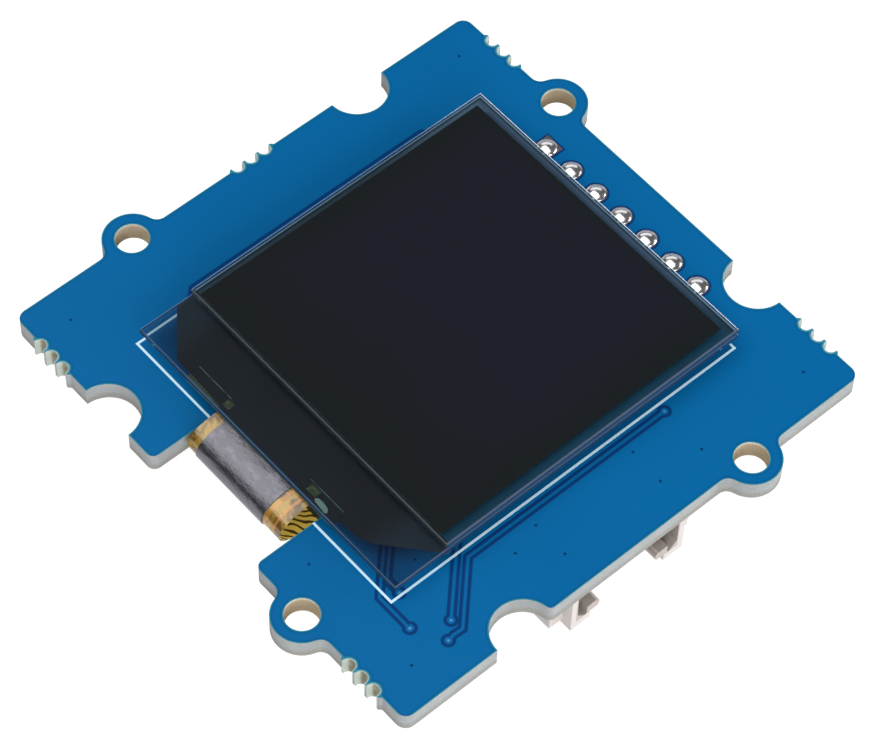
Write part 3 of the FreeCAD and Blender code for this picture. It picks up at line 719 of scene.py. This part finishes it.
def make_cover_finish():
    """Glossy black film that is lightly crumpled, with painted sheen streaks on the upper part of its fold.
    """
    material, tree, shader = principled("ribbon_cover_black_film", IOR=1.76, Specular_IOR_Level=1.0,
                                        Specular_Tint=(0.92, 0.90, 1.0))
    place = place_in_mm(tree)
    streak_noise = noise(tree, vector_calc(tree, "MULTIPLY", place, (1.0, 0.4, 1.0)), 2.3, 5.0, 0.7)
    crease = noise(tree, vector_calc(tree, "MULTIPLY", place, (0.5, 0.3, 0.5)), 1.1, 3.0, 0.6)
    # Painted highlight: lighter lilac streaks only on the upper part of the fold, where the lamp's sheen
    # falls.
    on_top = between(tree, split(tree, place)[2], 0.7, 0.95)
    painted_sheen_patches = calc(tree, "MULTIPLY", between(tree, streak_noise, 0.46, 0.64), on_top)
    colour = mixed(tree, painted_sheen_patches, (0.008, 0.010, 0.015), (0.080, 0.078, 0.110))
    tree.links.new(colour, shader.inputs["Base Color"])
    grained(tree, shader, place, 3.5, 0.24, 0.12)
    height = calc(tree, "ADD", calc(tree, "MULTIPLY", streak_noise, 0.055), calc(tree, "MULTIPLY", crease, 0.12))
    bumped(tree, shader, height, 1.0, 0.7)
    return material


def make_ledge_tape_finish():
    """Matt black tape with a pale glint painted along a crease over the edge of the ribbon's bonded end."""
    material, tree, shader = principled("black_ledge_tape", Specular_IOR_Level=0.12)
    place = place_in_mm(tree)
    x, y = split(tree, place)[:2]
    low, high = box_of("flex_ribbon")
    off_line = apart(tree, x, bond_end_x + 0.07)
    from_middle = apart(tree, y, (low.y + high.y) / 2)
    past_bond = calc(tree, "SUBTRACT", from_middle, (high.y - low.y) / 2)
    within_fold = calc(tree, "SUBTRACT", 4.1, from_middle)
    off_crease = calc(tree, "MAXIMUM", off_line, calc(tree, "MAXIMUM", past_bond, within_fold))
    # Painted highlight: a pale, patchy glint line where the tape bends over the edge of the bond.
    painted_sheen_patches = between(tree, noise(tree, place, 1.4, 3.0), 0.30, 0.62, 0.25, 1.0)
    crease = calc(tree, "MULTIPLY", between(tree, off_crease, 0.005, 0.042, 1.0, 0.0), painted_sheen_patches)
    end = between(tree, apart(tree, y, 0.5), 8.6, 11.2)
    black = mixed(tree, end, (0.058, 0.042, 0.051), (0.085, 0.074, 0.095))
    colour = mixed(tree, crease, black, (0.52, 0.54, 0.52))
    colour = drifted(tree, place, colour, 0.25, 0.35, 0.1)
    tree.links.new(colour, shader.inputs["Base Color"])
    bumped(tree, shader, grained(tree, shader, place, 2.0, 0.5, 0.1), 0.01)
    return material


def make_seal_finish():
    """Cured adhesive between the glasses, slate grey and blue-green, with a painted highlight along the far
    sides that grows towards the far corner.
    """
    material, tree, shader = principled("edge_seal_adhesive", Roughness=0.5, Specular_IOR_Level=0.0)
    place = place_in_mm(tree)
    x, y = split(tree, place)[:2]
    # Painted highlight: the upper rim lightens towards the right and the right rim lightens towards the
    # top.
    upper_rim_highlight = mixed(tree, between(tree, x, 4.0, 14.0), (0.16, 0.17, 0.215), (0.46, 0.47, 0.64))
    colour = mixed(tree, between(tree, y, 11.3, 11.7), (0.042, 0.160, 0.270), upper_rim_highlight)
    right_rim_highlight = mixed(tree, between(tree, y, -13.0, -7.0), (0.070, 0.120, 0.165), (0.36, 0.32, 0.47))
    colour = mixed(tree, between(tree, x, 14.3, 14.9), colour, right_rim_highlight)
    glass_high = box_of("front_glass")[1]
    outward = calc(tree, "MAXIMUM", calc(tree, "SUBTRACT", x, glass_high.x),
                   calc(tree, "SUBTRACT", y, glass_high.y))
    colour = mixed(tree, between(tree, outward, -0.36, -0.28, 0.0, 0.7), colour, (0.02, 0.03, 0.05))
    # Painted highlight: a pale line along the far sides, just inside the edges of the front glass.
    colour = mixed(tree, between(tree, outward, -0.2, -0.15, 0.0, 0.9), colour, (0.80, 0.80, 0.98))
    colour = drifted(tree, place, colour, 0.3, 0.5, 0.0)
    tree.links.new(colour, shader.inputs["Base Color"])
    return material


def make_chip_finish(name, along, share, body, end, body_roughness):
    """A chip part: ceramic in the middle and plated at both ends along one axis."""
    material, tree, shader = principled(name)
    place = place_in_mm(tree)
    coordinates = tree.nodes.new("ShaderNodeTexCoord")
    share_along = split(tree, coordinates.outputs["Generated"])["XYZ".index(along)]
    from_middle = apart(tree, share_along, 0.5)
    uneven = calc(tree, "MULTIPLY", calc(tree, "SUBTRACT", noise(tree, place, 5.0), 0.5), 0.03)
    plated = between(tree, calc(tree, "ADD", from_middle, uneven), 0.49 - share, 0.51 - share)
    body = drifted(tree, place, body, 1.5, 0.2, 0.15)
    tree.links.new(mixed(tree, plated, body, end), shader.inputs["Base Color"])
    tree.links.new(plated, shader.inputs["Metallic"])
    grain = placed(tree, surface_grain, Place=place, Scale=8.0, Roughness=0.32, Spread=0.15)
    roughness = between(tree, plated, 0.0, 1.0, body_roughness, grain["Roughness"])
    tree.links.new(roughness, shader.inputs["Roughness"])
    bumped(tree, shader, grain["Height"], 0.015)
    return material


def make_socket_finish():
    """Cream plastic with painted shade, dark brown, deeper inside the socket's mouth."""
    material, tree, shader = principled("socket_cream_plastic", Subsurface_Weight=0.1,
                                        Subsurface_Scale=0.001)
    place = place_in_mm(tree)
    x, y, z = split(tree, place)
    low, high = box_of("socket_housing")
    off_ends = calc(tree, "SUBTRACT", mouth_half_width, calc(tree, "ABSOLUTE", x))
    off_walls = calc(tree, "MINIMUM", calc(tree, "SUBTRACT", high.z - 0.5, z),
                     calc(tree, "SUBTRACT", z, low.z + 0.6))
    # Painted shade: faces inside the mouth are darkened to brown, more so deeper in.
    cavity = between(tree, calc(tree, "MINIMUM", off_ends, off_walls), 0.02, 0.08)
    depth = calc(tree, "SUBTRACT", y, low.y)
    deep = calc(tree, "MULTIPLY", cavity, between(tree, depth, 0.15, 1.95, 0.45, 0.95))
    deep = calc(tree, "MULTIPLY", deep, calc(tree, "LESS_THAN", depth, 6.35))
    colour = mixed(tree, deep, (0.62, 0.57, 0.545), (0.17, 0.13, 0.095))
    colour = drifted(tree, place, colour, 0.3, 0.06, 0.03)
    tree.links.new(colour, shader.inputs["Base Color"])
    bumped(tree, shader, grained(tree, shader, place, 3.0, 0.42, 0.1), 0.01)
    return material


board_finish = make_board_finish()
white_print = plain_finish("white_board_print", (0.60, 0.85, 1.0), 0.55, drift=0.1, grain_depth=0.02)
black_foam = plain_finish("black_foam_pad", (0.012, 0.012, 0.013), 0.9, grain_scale=3.0, grain_depth=0.08)
glass = make_glass()
dark_film = plain_finish("dark_picture_film", (0.006, 0.007, 0.012), 0.3)
seal_adhesive = make_seal_finish()
polariser_finish = make_polariser_finish()
black_tape = make_ledge_tape_finish()
pale_glue = plain_finish("pale_glue_bit", (0.74, 0.66, 0.52), 0.4, drift=0.8, drift_scale=1.5,
                         grain_scale=5.0)
chip_silicon = plain_finish("driver_chip_silicon", (0.05, 0.05, 0.06), 0.2, Metallic=0.4)
ribbon_finish = make_ribbon_finish()
cover_finish = make_cover_finish()
bright_solder = plain_finish("bright_solder", (0.92, 0.91, 0.94), 0.2, drift=0.06, speck=0.02,
                             grain_scale=1.5, spread=0.05, grain_depth=0.004, Metallic=1.0)
pad_tin = plain_finish("tinned_pad_rim", (0.60, 0.60, 0.66), 0.18, grain_scale=3.0, Metallic=1.0)
header_black = plain_finish("header_black_plastic", (0.014, 0.014, 0.016), 0.42, grain_scale=4.0)
pin_gold = plain_finish("header_pin_gold", (0.83, 0.61, 0.27), 0.22, drift=0.08, Metallic=1.0)
socket_cream = make_socket_finish()
tab_tin = plain_finish("tin_plated_sheet", (0.74, 0.74, 0.75), 0.28, Metallic=1.0)
package_black = plain_finish("moulded_package_black", (0.018, 0.018, 0.020), 0.5, grain_scale=10.0,
                             grain_depth=0.012)
ferrite_grey = plain_finish("inductor_ferrite", (0.060, 0.060, 0.062), 0.55, drift=0.25, grain_scale=7.0,
                            grain_depth=0.02)
capacitor_tan = {}
resistor_black = {}
for axis in "XY":
    capacitor_tan[axis] = make_chip_finish("capacitor_ceramic_" + axis.lower(), axis, 0.2,
                                           (0.42, 0.30, 0.19), (0.72, 0.72, 0.73), 0.4)
    resistor_black[axis] = make_chip_finish("resistor_glaze_" + axis.lower(), axis, 0.22,
                                            (0.020, 0.020, 0.024), (0.74, 0.74, 0.75), 0.3)


# Finishes of the pieces that keep their CAD shape

header_pins = ["header_pin_%d" % number for number in range(1, header_ways + 1)]
socket_contacts = ["socket_contact_%d" % number for number in range(1, 5)]
packages = ["regulator_body", "converter_body", "diode_body", "shifter_body_1", "shifter_body_2"]
package_leads = ["regulator_leads", "converter_leads", "diode_leads", "shifter_leads_1", "shifter_leads_2"]
capacitors = ["capacitor_%d" % number for number in range(1, 7)]
resistors = ["resistor_%d" % number for number in range(1, 9)]


def dress(material, *names):
    """Gives CAD nodes their finish."""
    for name in names:
        finishes = nodes[name].data.materials
        finishes.clear()
        finishes.append(material)


def longer_axis(node):
    """The axis that a chip part lies along."""
    low, high = box_of(node)
    size = high - low
    return "X" if size.x > size.y else "Y"


dress(board_finish, "circuit_board")
dress(white_print, "printed_frame")
dress(dark_film, "display_stack")
dress(seal_adhesive, "edge_seal")
dress(chip_silicon, "driver_chip")
dress(bright_solder, "ribbon_solder_row")
dress(pad_tin, "header_pads")
dress(header_black, "header_body")
dress(pin_gold, *header_pins)
dress(socket_cream, "socket_housing")
dress(tab_tin, "socket_tab_left", "socket_tab_right", *socket_contacts)
dress(tab_tin, "inductor_terminals", *package_leads)
dress(ferrite_grey, "inductor_body")
dress(package_black, *packages)
for name in capacitors:
    dress(capacitor_tan[longer_axis(name)], name)
for name in resistors:
    dress(resistor_black[longer_axis(name)], name)


# Display panel

def pane(name, node, material, slot, gap, edge):
    """A flat sheet in a node's place, a hair inside its box, with its upper edges broken."""
    low, high = box_of(node)
    sheet = Solids()
    sections = []
    for inset, level in ((gap, low.z + gap), (gap, high.z - gap - edge), (gap + edge, high.z - gap)):
        sections.append([(low.x + inset, low.y + inset, level), (high.x - inset, low.y + inset, level),
                         (high.x - inset, high.y - inset, level), (low.x + inset, high.y - inset, level)])
    sheet.band(sections)
    made = sheet.piece(name, material, slot, smooth=False)
    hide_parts(node)


pane("rear_glass_pane", "rear_glass", glass, "display_glass", 0.012, 0.07)
pane("front_glass_pane", "front_glass", glass, "display_glass", 0.012, 0.1)
pane("polariser_sheet", "polariser", polariser_finish, "polariser_film", 0.002, 0.04)


def foam_pad():
    """The pad that carries the panel, its edges drawn in a little under the glass."""
    low, high = box_of("foam_tape")
    pad = Solids()
    pad.slab((low.x + 0.05, high.x - 0.05), (low.y + 0.35, high.y - 0.05), (low.z, high.z))
    made = pad.piece("foam_pad", black_foam, "black_foam", smooth=False)
    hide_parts("foam_tape")


def squeezed_seal():
    """Adhesive pressed out from the seal towards the edges of the front glass on three sides."""
    low, high = box_of("edge_seal")
    glass_low, glass_high = box_of("front_glass")
    level = (low.z + 0.004, high.z - 0.004)
    seam = 0.002
    setback = 0.06
    along = (glass_low.y + setback, glass_high.y - setback)
    strip = Solids()
    strip.slab((high.x + seam, glass_high.x - setback), along, level)
    strip.slab((low.x, high.x), (high.y + seam, along[1]), level)
    strip.slab((low.x, high.x), (along[0], low.y - seam), level)
    # The strips on the far sides show the seal finish's painted highlight line.
    strip.piece("squeezed_seal", seal_adhesive, "clear_adhesive", smooth=False)


def ledge_tape_film():
    """The black tape under the ledge, a hair below the glass, with two windows in it."""
    low, high = box_of("ledge_tape")
    top = high.z - 0.012
    window_x = (low.x + 0.5, low.x + 1.1)
    upper_window = (4.35, 5.0)
    lower_window = (-4.45, -3.55)
    film = Solids()
    # The run under the display, from corner cut to corner cut
    film.prism([(window_x[1], high.y - 2.5), (window_x[1], low.y + 3.6), (low.x + 2.0, low.y + 2.55),
                (low.x + 3.14, low.y + 1.25), (low.x + 4.2, low.y), (high.x, low.y), (high.x, high.y),
                (low.x + 3.1, high.y)], low.z, top)
    # The strip beside the windows, from the lower end to the upper
    film.prism([(low.x, low.y + 6.5), (low.x + 0.65, low.y + 6.0), (low.x + 0.65, low.y + 4.65),
                (window_x[1], low.y + 3.6), (window_x[1], lower_window[0]), (low.x, lower_window[0])],
               low.z, top)
    film.slab((low.x, window_x[0]), lower_window, (low.z, top))
    film.slab((low.x, window_x[1]), (lower_window[1], upper_window[0]), (low.z, top))
    film.slab((low.x, window_x[0]), upper_window, (low.z, top))
    film.prism([(low.x + 0.3, upper_window[1]), (window_x[1], upper_window[1]), (window_x[1], high.y - 2.5),
                (low.x + 0.4, high.y - 3.4), (low.x + 0.45, high.y - 5.0)], low.z, top)
    made = film.piece("ledge_tape_film", black_tape, "black_tape", smooth=False)
    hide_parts("ledge_tape")


def glue_bit():
    """A pale bit of glue between the tape and the glass, beside the ribbon."""
    level = box_of("ledge_tape")[1].z
    bit = Solids()
    bit.prism([(-14.56, -5.78), (-14.40, -5.86), (-14.18, -5.62), (-14.10, -5.10), (-14.13, -4.70),
               (-14.32, -4.50), (-14.46, -4.66), (-14.52, -5.20)], level - 0.011, level - 0.003)
    bit.piece("glue_bit", pale_glue, smooth=False)


foam_pad()
squeezed_seal()
ledge_tape_film()
glue_bit()


# Ribbon and its cover film

def fold_sections(growth, thickness, top_x, low_x, ends_y):
    """Sections of a folded film across its width, from under the glass round an oval turn to the back."""
    centre_x, centre_z = fold_centre
    depth = fold_size[0] + growth
    rise = fold_size[1] + growth
    path = [(top_x, 90)]
    path += [(centre_x, 90 + 180 * step / fold_steps) for step in range(fold_steps + 1)]
    path.append((low_x, 270))
    low_y, high_y = ends_y
    width = [low_y + (high_y - low_y) * index / fold_columns for index in range(fold_columns + 1)]
    sections = []
    for x, degrees in path:
        turn = math.radians(degrees)
        outer_x = x + depth * math.cos(turn)
        outer_z = centre_z + rise * math.sin(turn)
        inner_x = x + (depth - thickness) * math.cos(turn)
        inner_z = centre_z + (rise - thickness) * math.sin(turn)
        outer = [(outer_x, y, outer_z) for y in width]
        inner = [(inner_x, y, inner_z) for y in reversed(width)]
        sections.append(outer + inner)
    return sections


def inset(ends):
    """Two ends of a film, each drawn in by the film gap."""
    return ends[0] + film_gap, ends[1] - film_gap


def folded_ribbon():
    """The amber ribbon: the fold and the bonded end under the ledge."""
    low, high = box_of("flex_ribbon")
    thickness = ribbon_thickness - 2 * film_gap
    film = Solids()
    film.band(fold_sections(-film_gap, thickness, ledge_edge_x + 0.01, high.x - film_gap, inset(fold_y)))
    film.slab((ledge_edge_x + 0.06, bond_end_x - film_gap), inset((low.y, high.y)),
              (high.z - ribbon_thickness + film_gap, high.z - 2 * film_gap))
    made = film.piece("ribbon_amber", ribbon_finish, "amber_film")
    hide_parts("flex_ribbon")


def cover_film():
    """The black film round the fold."""
    low, high = box_of("ribbon_cover")
    thickness = cover_thickness - 2 * film_gap
    film = Solids()
    film.band(fold_sections(cover_thickness - film_gap, thickness, ledge_edge_x - 0.05 - film_gap,
                            high.x - film_gap, inset((low.y, high.y))))
    made = film.piece("ribbon_cover_wrap", cover_finish, "black_cover_film")
    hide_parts("ribbon_cover")


folded_ribbon()
cover_film()


# Solder

def solder_domes():
    """A bright dome over each header pad and pin tip, with a thin flare below it and solder in the hole."""
    domes = Solids()
    dome_angle = math.radians(36)
    dome_base = 0.095
    dome_rings = 14
    for way in range(header_ways):
        y = header_first_y - way * header_pitch
        swell = 1.14 + 0.04 * math.sin(way * 2.3)
        lean = (0.04 * math.sin(way * 1.7), 0.04 * math.cos(way * 2.9))
        profile = [(0.498, board_back), (0.498, 0.037), (0.725, 0.037), (0.722, 0.050), (0.712, 0.054),
                   (0.695, 0.056)]
        for ring in range(dome_rings):
            angle = dome_angle * (1 - ring / (dome_rings - 1))
            rise = swell * (math.cos(angle) - math.cos(dome_angle))
            profile.append((max(swell * math.sin(angle), 0.004), dome_base + rise))
        domes.turned((header_x, y), profile, 40, lean)
    made = domes.piece("solder_domes", bright_solder, "solder")
    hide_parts("solder_joints")


solder_domes()


# Back of the board

# Where leads and plated ends meet their pads: place, outward direction, half width and height of the solder
lead_toes = [(x, y, 0, way, 0.24, 0.13) for x, y, way in (
    (8.65, -2.25, 1), (9.6, -2.25, 1), (10.55, -2.25, 1), (8.65, -4.95, -1), (10.55, -4.95, -1),
    (-4.55, 3.75, 1), (-3.6, 3.75, 1), (-2.65, 3.75, 1), (-4.55, 1.05, -1), (-3.6, 1.05, -1),
    (-2.65, 1.05, -1), (-1.9, -4.0, 1), (-2.85, -6.4, -1), (-0.95, -6.4, -1), (2.9, -4.0, 1),
    (1.95, -6.4, -1), (3.85, -6.4, -1), (-3.0, -9.85, 1), (-1.0, -9.85, 1), (1.0, -9.85, 1),
    (3.0, -9.85, 1))]
lead_toes += [(-0.1, 8.6, -1, 0, 0.3, 0.13), (3.7, 8.6, 1, 0, 0.3, 0.13),
              (-5.8, 8.6, -1, 0, 1.3, 0.09), (-1.8, 8.6, 1, 0, 1.3, 0.09),
              (-7.1, -16.6, -1, 0, 1.3, 0.13), (7.1, -16.6, 1, 0, 1.3, 0.13)]


def chip_toes():
    """The same for both ends of every chip part."""
    toes = []
    for name in capacitors + resistors:
        low, high = box_of(name)
        middle = (low + high) / 2
        rise = 0.55 * (high.z - low.z)
        if longer_axis(name) == "X":
            half = (high.y - low.y) / 2
            toes += [(low.x, middle.y, -1, 0, half, rise), (high.x, middle.y, 1, 0, half, rise)]
        else:
            half = (high.x - low.x) / 2
            toes += [(middle.x, low.y, 0, -1, half, rise), (middle.x, high.y, 0, 1, half, rise)]
    return toes


def back_solder():
    """Solder drawn up from the pads to the leads and plated ends, hollow along its slope."""
    fillets = Solids()
    for x, y, out_x, out_y, half_width, rise in lead_toes + chip_toes():
        slope = [(0.003, 0.0), (0.34, 0.0), (0.34, 0.035), (0.18, 0.04 + 0.1 * rise),
                 (0.07, 0.04 + 0.42 * rise), (0.003, rise)]
        sections = []
        for aside in (-half_width, half_width):
            sections.append([(x + out_x * out - out_y * aside, y + out_y * out + out_x * aside,
                              board_back - drop) for out, drop in slope])
        fillets.band(sections)
    fillets.piece("back_solder", bright_solder, smooth=False)


def back_print():
    """White outlines and first-pin dots printed on the back, without any text."""
    ink = Solids()
    level = (board_back - 0.015, board_back - 0.001)
    wide = 0.15
    # Lines along X: start, end and place in Y
    for start, end, y in ((-6.1, -1.5, 6.25), (-6.1, -1.5, 10.8), (14.9, 18.5, -9.4), (14.9, 18.5, 9.1),
                          (-6.6, -3.7, -11.1), (3.7, 6.6, -11.1), (0.4, 3.2, 7.35), (0.4, 3.2, 9.7),
                          (-8.9, -7.0, 4.65), (-8.9, -7.0, -4.5), (5.4, 7.4, 7.0), (5.4, 7.4, 10.05),
                          (8.4, 10.4, 7.0), (8.4, 10.4, 10.05), (-9.6, -7.6, 7.0), (-9.6, -7.6, 10.05)):
        ink.slab((start, end), (y, y + wide), level)
    # Lines along Y: place in X, start and end
    for x, start, end in ((14.9, -9.25, 9.1), (18.35, -9.25, 9.1), (-6.6, -14.8, -11.1),
                          (6.45, -14.8, -11.1), (-5.5, 1.7, 3.1), (-1.85, 1.7, 3.1),
                          (7.7, -4.3, -2.9), (11.35, -4.3, -2.9), (-3.8, -5.75, -4.65),
                          (-0.15, -5.75, -4.65), (1.0, -5.75, -4.65), (4.65, -5.75, -4.65),
                          (-0.75, 8.0, 9.2), (14.5, 6.9, 8.1)):
        ink.slab((x, x + wide), (start, end), level)
    # Dots beside the first pins
    for x, y in ((-5.5, 0.8), (11.35, -5.2), (-3.8, -6.6), (1.0, -6.6), (-3.6, -9.1)):
        ink.prism([(x + 0.16 * math.cos(step * math.pi / 8), y + 0.16 * math.sin(step * math.pi / 8))
                   for step in range(16)], *level)
    ink.piece("back_print", white_print, "white_print", smooth=False)


back_solder()
back_print()
ease("socket_housing", 0.06)
ease("header_body", 0.08)
ease("inductor_body", 0.08)
for name in packages + capacitors:
    ease(name, 0.04)
for name in resistors:
    ease(name, 0.03)


# Floor, light and camera

def stage_floor():
    """A pale floor that shows white, keeps a faint shadow and is clear from below."""
    material = bpy.data.materials.new("pale_floor")
    material.use_nodes = True
    tree = material.node_tree
    tree.nodes.clear()
    path = tree.nodes.new("ShaderNodeLightPath")
    seen = calc(tree, "MAXIMUM", path.outputs["Is Camera Ray"],
                calc(tree, "MAXIMUM", path.outputs["Is Glossy Ray"], path.outputs["Is Transmission Ray"]))
    matt = tree.nodes.new("ShaderNodeBsdfDiffuse")
    matt.inputs["Color"].default_value = (0.8, 0.8, 0.8, 1)
    faint = tree.nodes.new("ShaderNodeBsdfDiffuse")
    faint.inputs["Color"].default_value = (0.25, 0.25, 0.25, 1)
    white = tree.nodes.new("ShaderNodeEmission")
    white.inputs["Strength"].default_value = 0.9
    lit = tree.nodes.new("ShaderNodeAddShader")
    tree.links.new(faint.outputs[0], lit.inputs[0])
    tree.links.new(white.outputs[0], lit.inputs[1])
    choose = tree.nodes.new("ShaderNodeMixShader")
    tree.links.new(seen, choose.inputs[0])
    tree.links.new(matt.outputs[0], choose.inputs[1])
    tree.links.new(lit.outputs[0], choose.inputs[2])
    geometry = tree.nodes.new("ShaderNodeNewGeometry")
    clear = tree.nodes.new("ShaderNodeBsdfTransparent")
    below = tree.nodes.new("ShaderNodeMixShader")
    tree.links.new(geometry.outputs["Backfacing"], below.inputs[0])
    tree.links.new(choose.outputs[0], below.inputs[1])
    tree.links.new(clear.outputs[0], below.inputs[2])
    tree.links.new(below.outputs[0], tree.nodes.new("ShaderNodeOutputMaterial").inputs["Surface"])
    size = 3000.0
    level = cad_box[0].z / MM - 0.02
    mesh = bpy.data.meshes.new("floor")
    corners = [(-size, -size, level), (size, -size, level), (size, size, level), (-size, size, level)]
    mesh.from_pydata([Vector(corner) * MM for corner in corners], [], [(0, 1, 2, 3)])
    mesh.materials.append(material)
    floor = bpy.data.objects.new("floor", mesh)
    bpy.context.scene.collection.objects.link(floor)


def studio_world():
    """A surround that is white to the eye, dim as a light, and bright near the horizon in reflections."""
    world = bpy.data.worlds.new("studio_surround")
    bpy.context.scene.world = world
    world.use_nodes = True
    tree = world.node_tree
    tree.nodes.clear()
    coordinates = tree.nodes.new("ShaderNodeTexCoord")
    horizon = between(tree, split(tree, coordinates.outputs["Generated"])[2], 0.0, 0.12, 1.0, 0.09)
    path = tree.nodes.new("ShaderNodeLightPath")
    mirrored = calc(tree, "MAXIMUM", path.outputs["Is Glossy Ray"], path.outputs["Is Transmission Ray"])
    plain = calc(tree, "MULTIPLY", calc(tree, "SUBTRACT", 1.0, mirrored), 0.2)
    unseen = calc(tree, "ADD", plain, calc(tree, "MULTIPLY", mirrored, horizon))
    strength = calc(tree, "MAXIMUM", path.outputs["Is Camera Ray"], unseen)
    background = tree.nodes.new("ShaderNodeBackground")
    tree.links.new(strength, background.inputs["Strength"])
    background.inputs["Color"].default_value = (1, 1, 1, 1)
    tree.links.new(background.outputs[0], tree.nodes.new("ShaderNodeOutputWorld").inputs["Surface"])


def soft_lamp(name, place, side, size, power):
    """A rectangular soft lamp aimed at the module, its length along one side direction."""
    light = bpy.data.lights.new(name, "AREA")
    light.shape = "RECTANGLE"
    light.size, light.size_y = size
    light.energy = power
    lamp = bpy.data.objects.new(name, light)
    back = Vector(place).normalized()
    along = (Vector(side) - Vector(side).dot(back) * back).normalized()
    up = back.cross(along)
    lamp.matrix_world = Matrix.Translation(place) @ Matrix((along, up, back)).transposed().to_4x4()
    bpy.context.scene.collection.objects.link(lamp)


def photo_camera():
    """The camera, placed and turned as the photograph was taken."""
    camera = bpy.data.cameras.new("camera")
    camera.sensor_width = 36.0
    camera.lens = 149.2
    camera.clip_start = 0.01
    camera.clip_end = 20.0
    eye = bpy.data.objects.new("camera", camera)
    right = Vector((0.75473178, -0.65574328, 0.01951134))
    down = Vector((-0.53868567, -0.63643002, -0.55206393))
    ahead = Vector((0.37442981, 0.40614971, -0.83357347))
    turn = Matrix((right, -down, -ahead)).transposed().to_4x4()
    eye.matrix_world = Matrix.Translation(Vector((-91.24845843, -99.03687146, 200.06953092)) * MM) @ turn
    bpy.context.scene.collection.objects.link(eye)
    bpy.context.scene.camera = eye


stage_floor()
studio_world()
soft_lamp("overhead_softbox", (-0.126, 0.075, 0.515), (1, 0, 0), (0.66, 0.65), 2.6)
soft_lamp("front_fill", (-0.24, -0.55, 0.22), (1, -0.4, 0), (0.6, 0.4), 2.9)
soft_lamp("rear_glow", (0.35, 0.37, 0.30), (1, -0.95, 0), (0.6, 0.25), 0.4)
soft_lamp("side_fill", (0.50, -0.36, 0.16), (0.7, 1, 0), (0.4, 0.3), 2.1)
soft_lamp("under_fill", (-0.1, -0.15, -0.6), (1, 0, 0), (0.6, 0.6), 2.6)
photo_camera()
bpy.context.scene.view_settings.view_transform = "Standard"
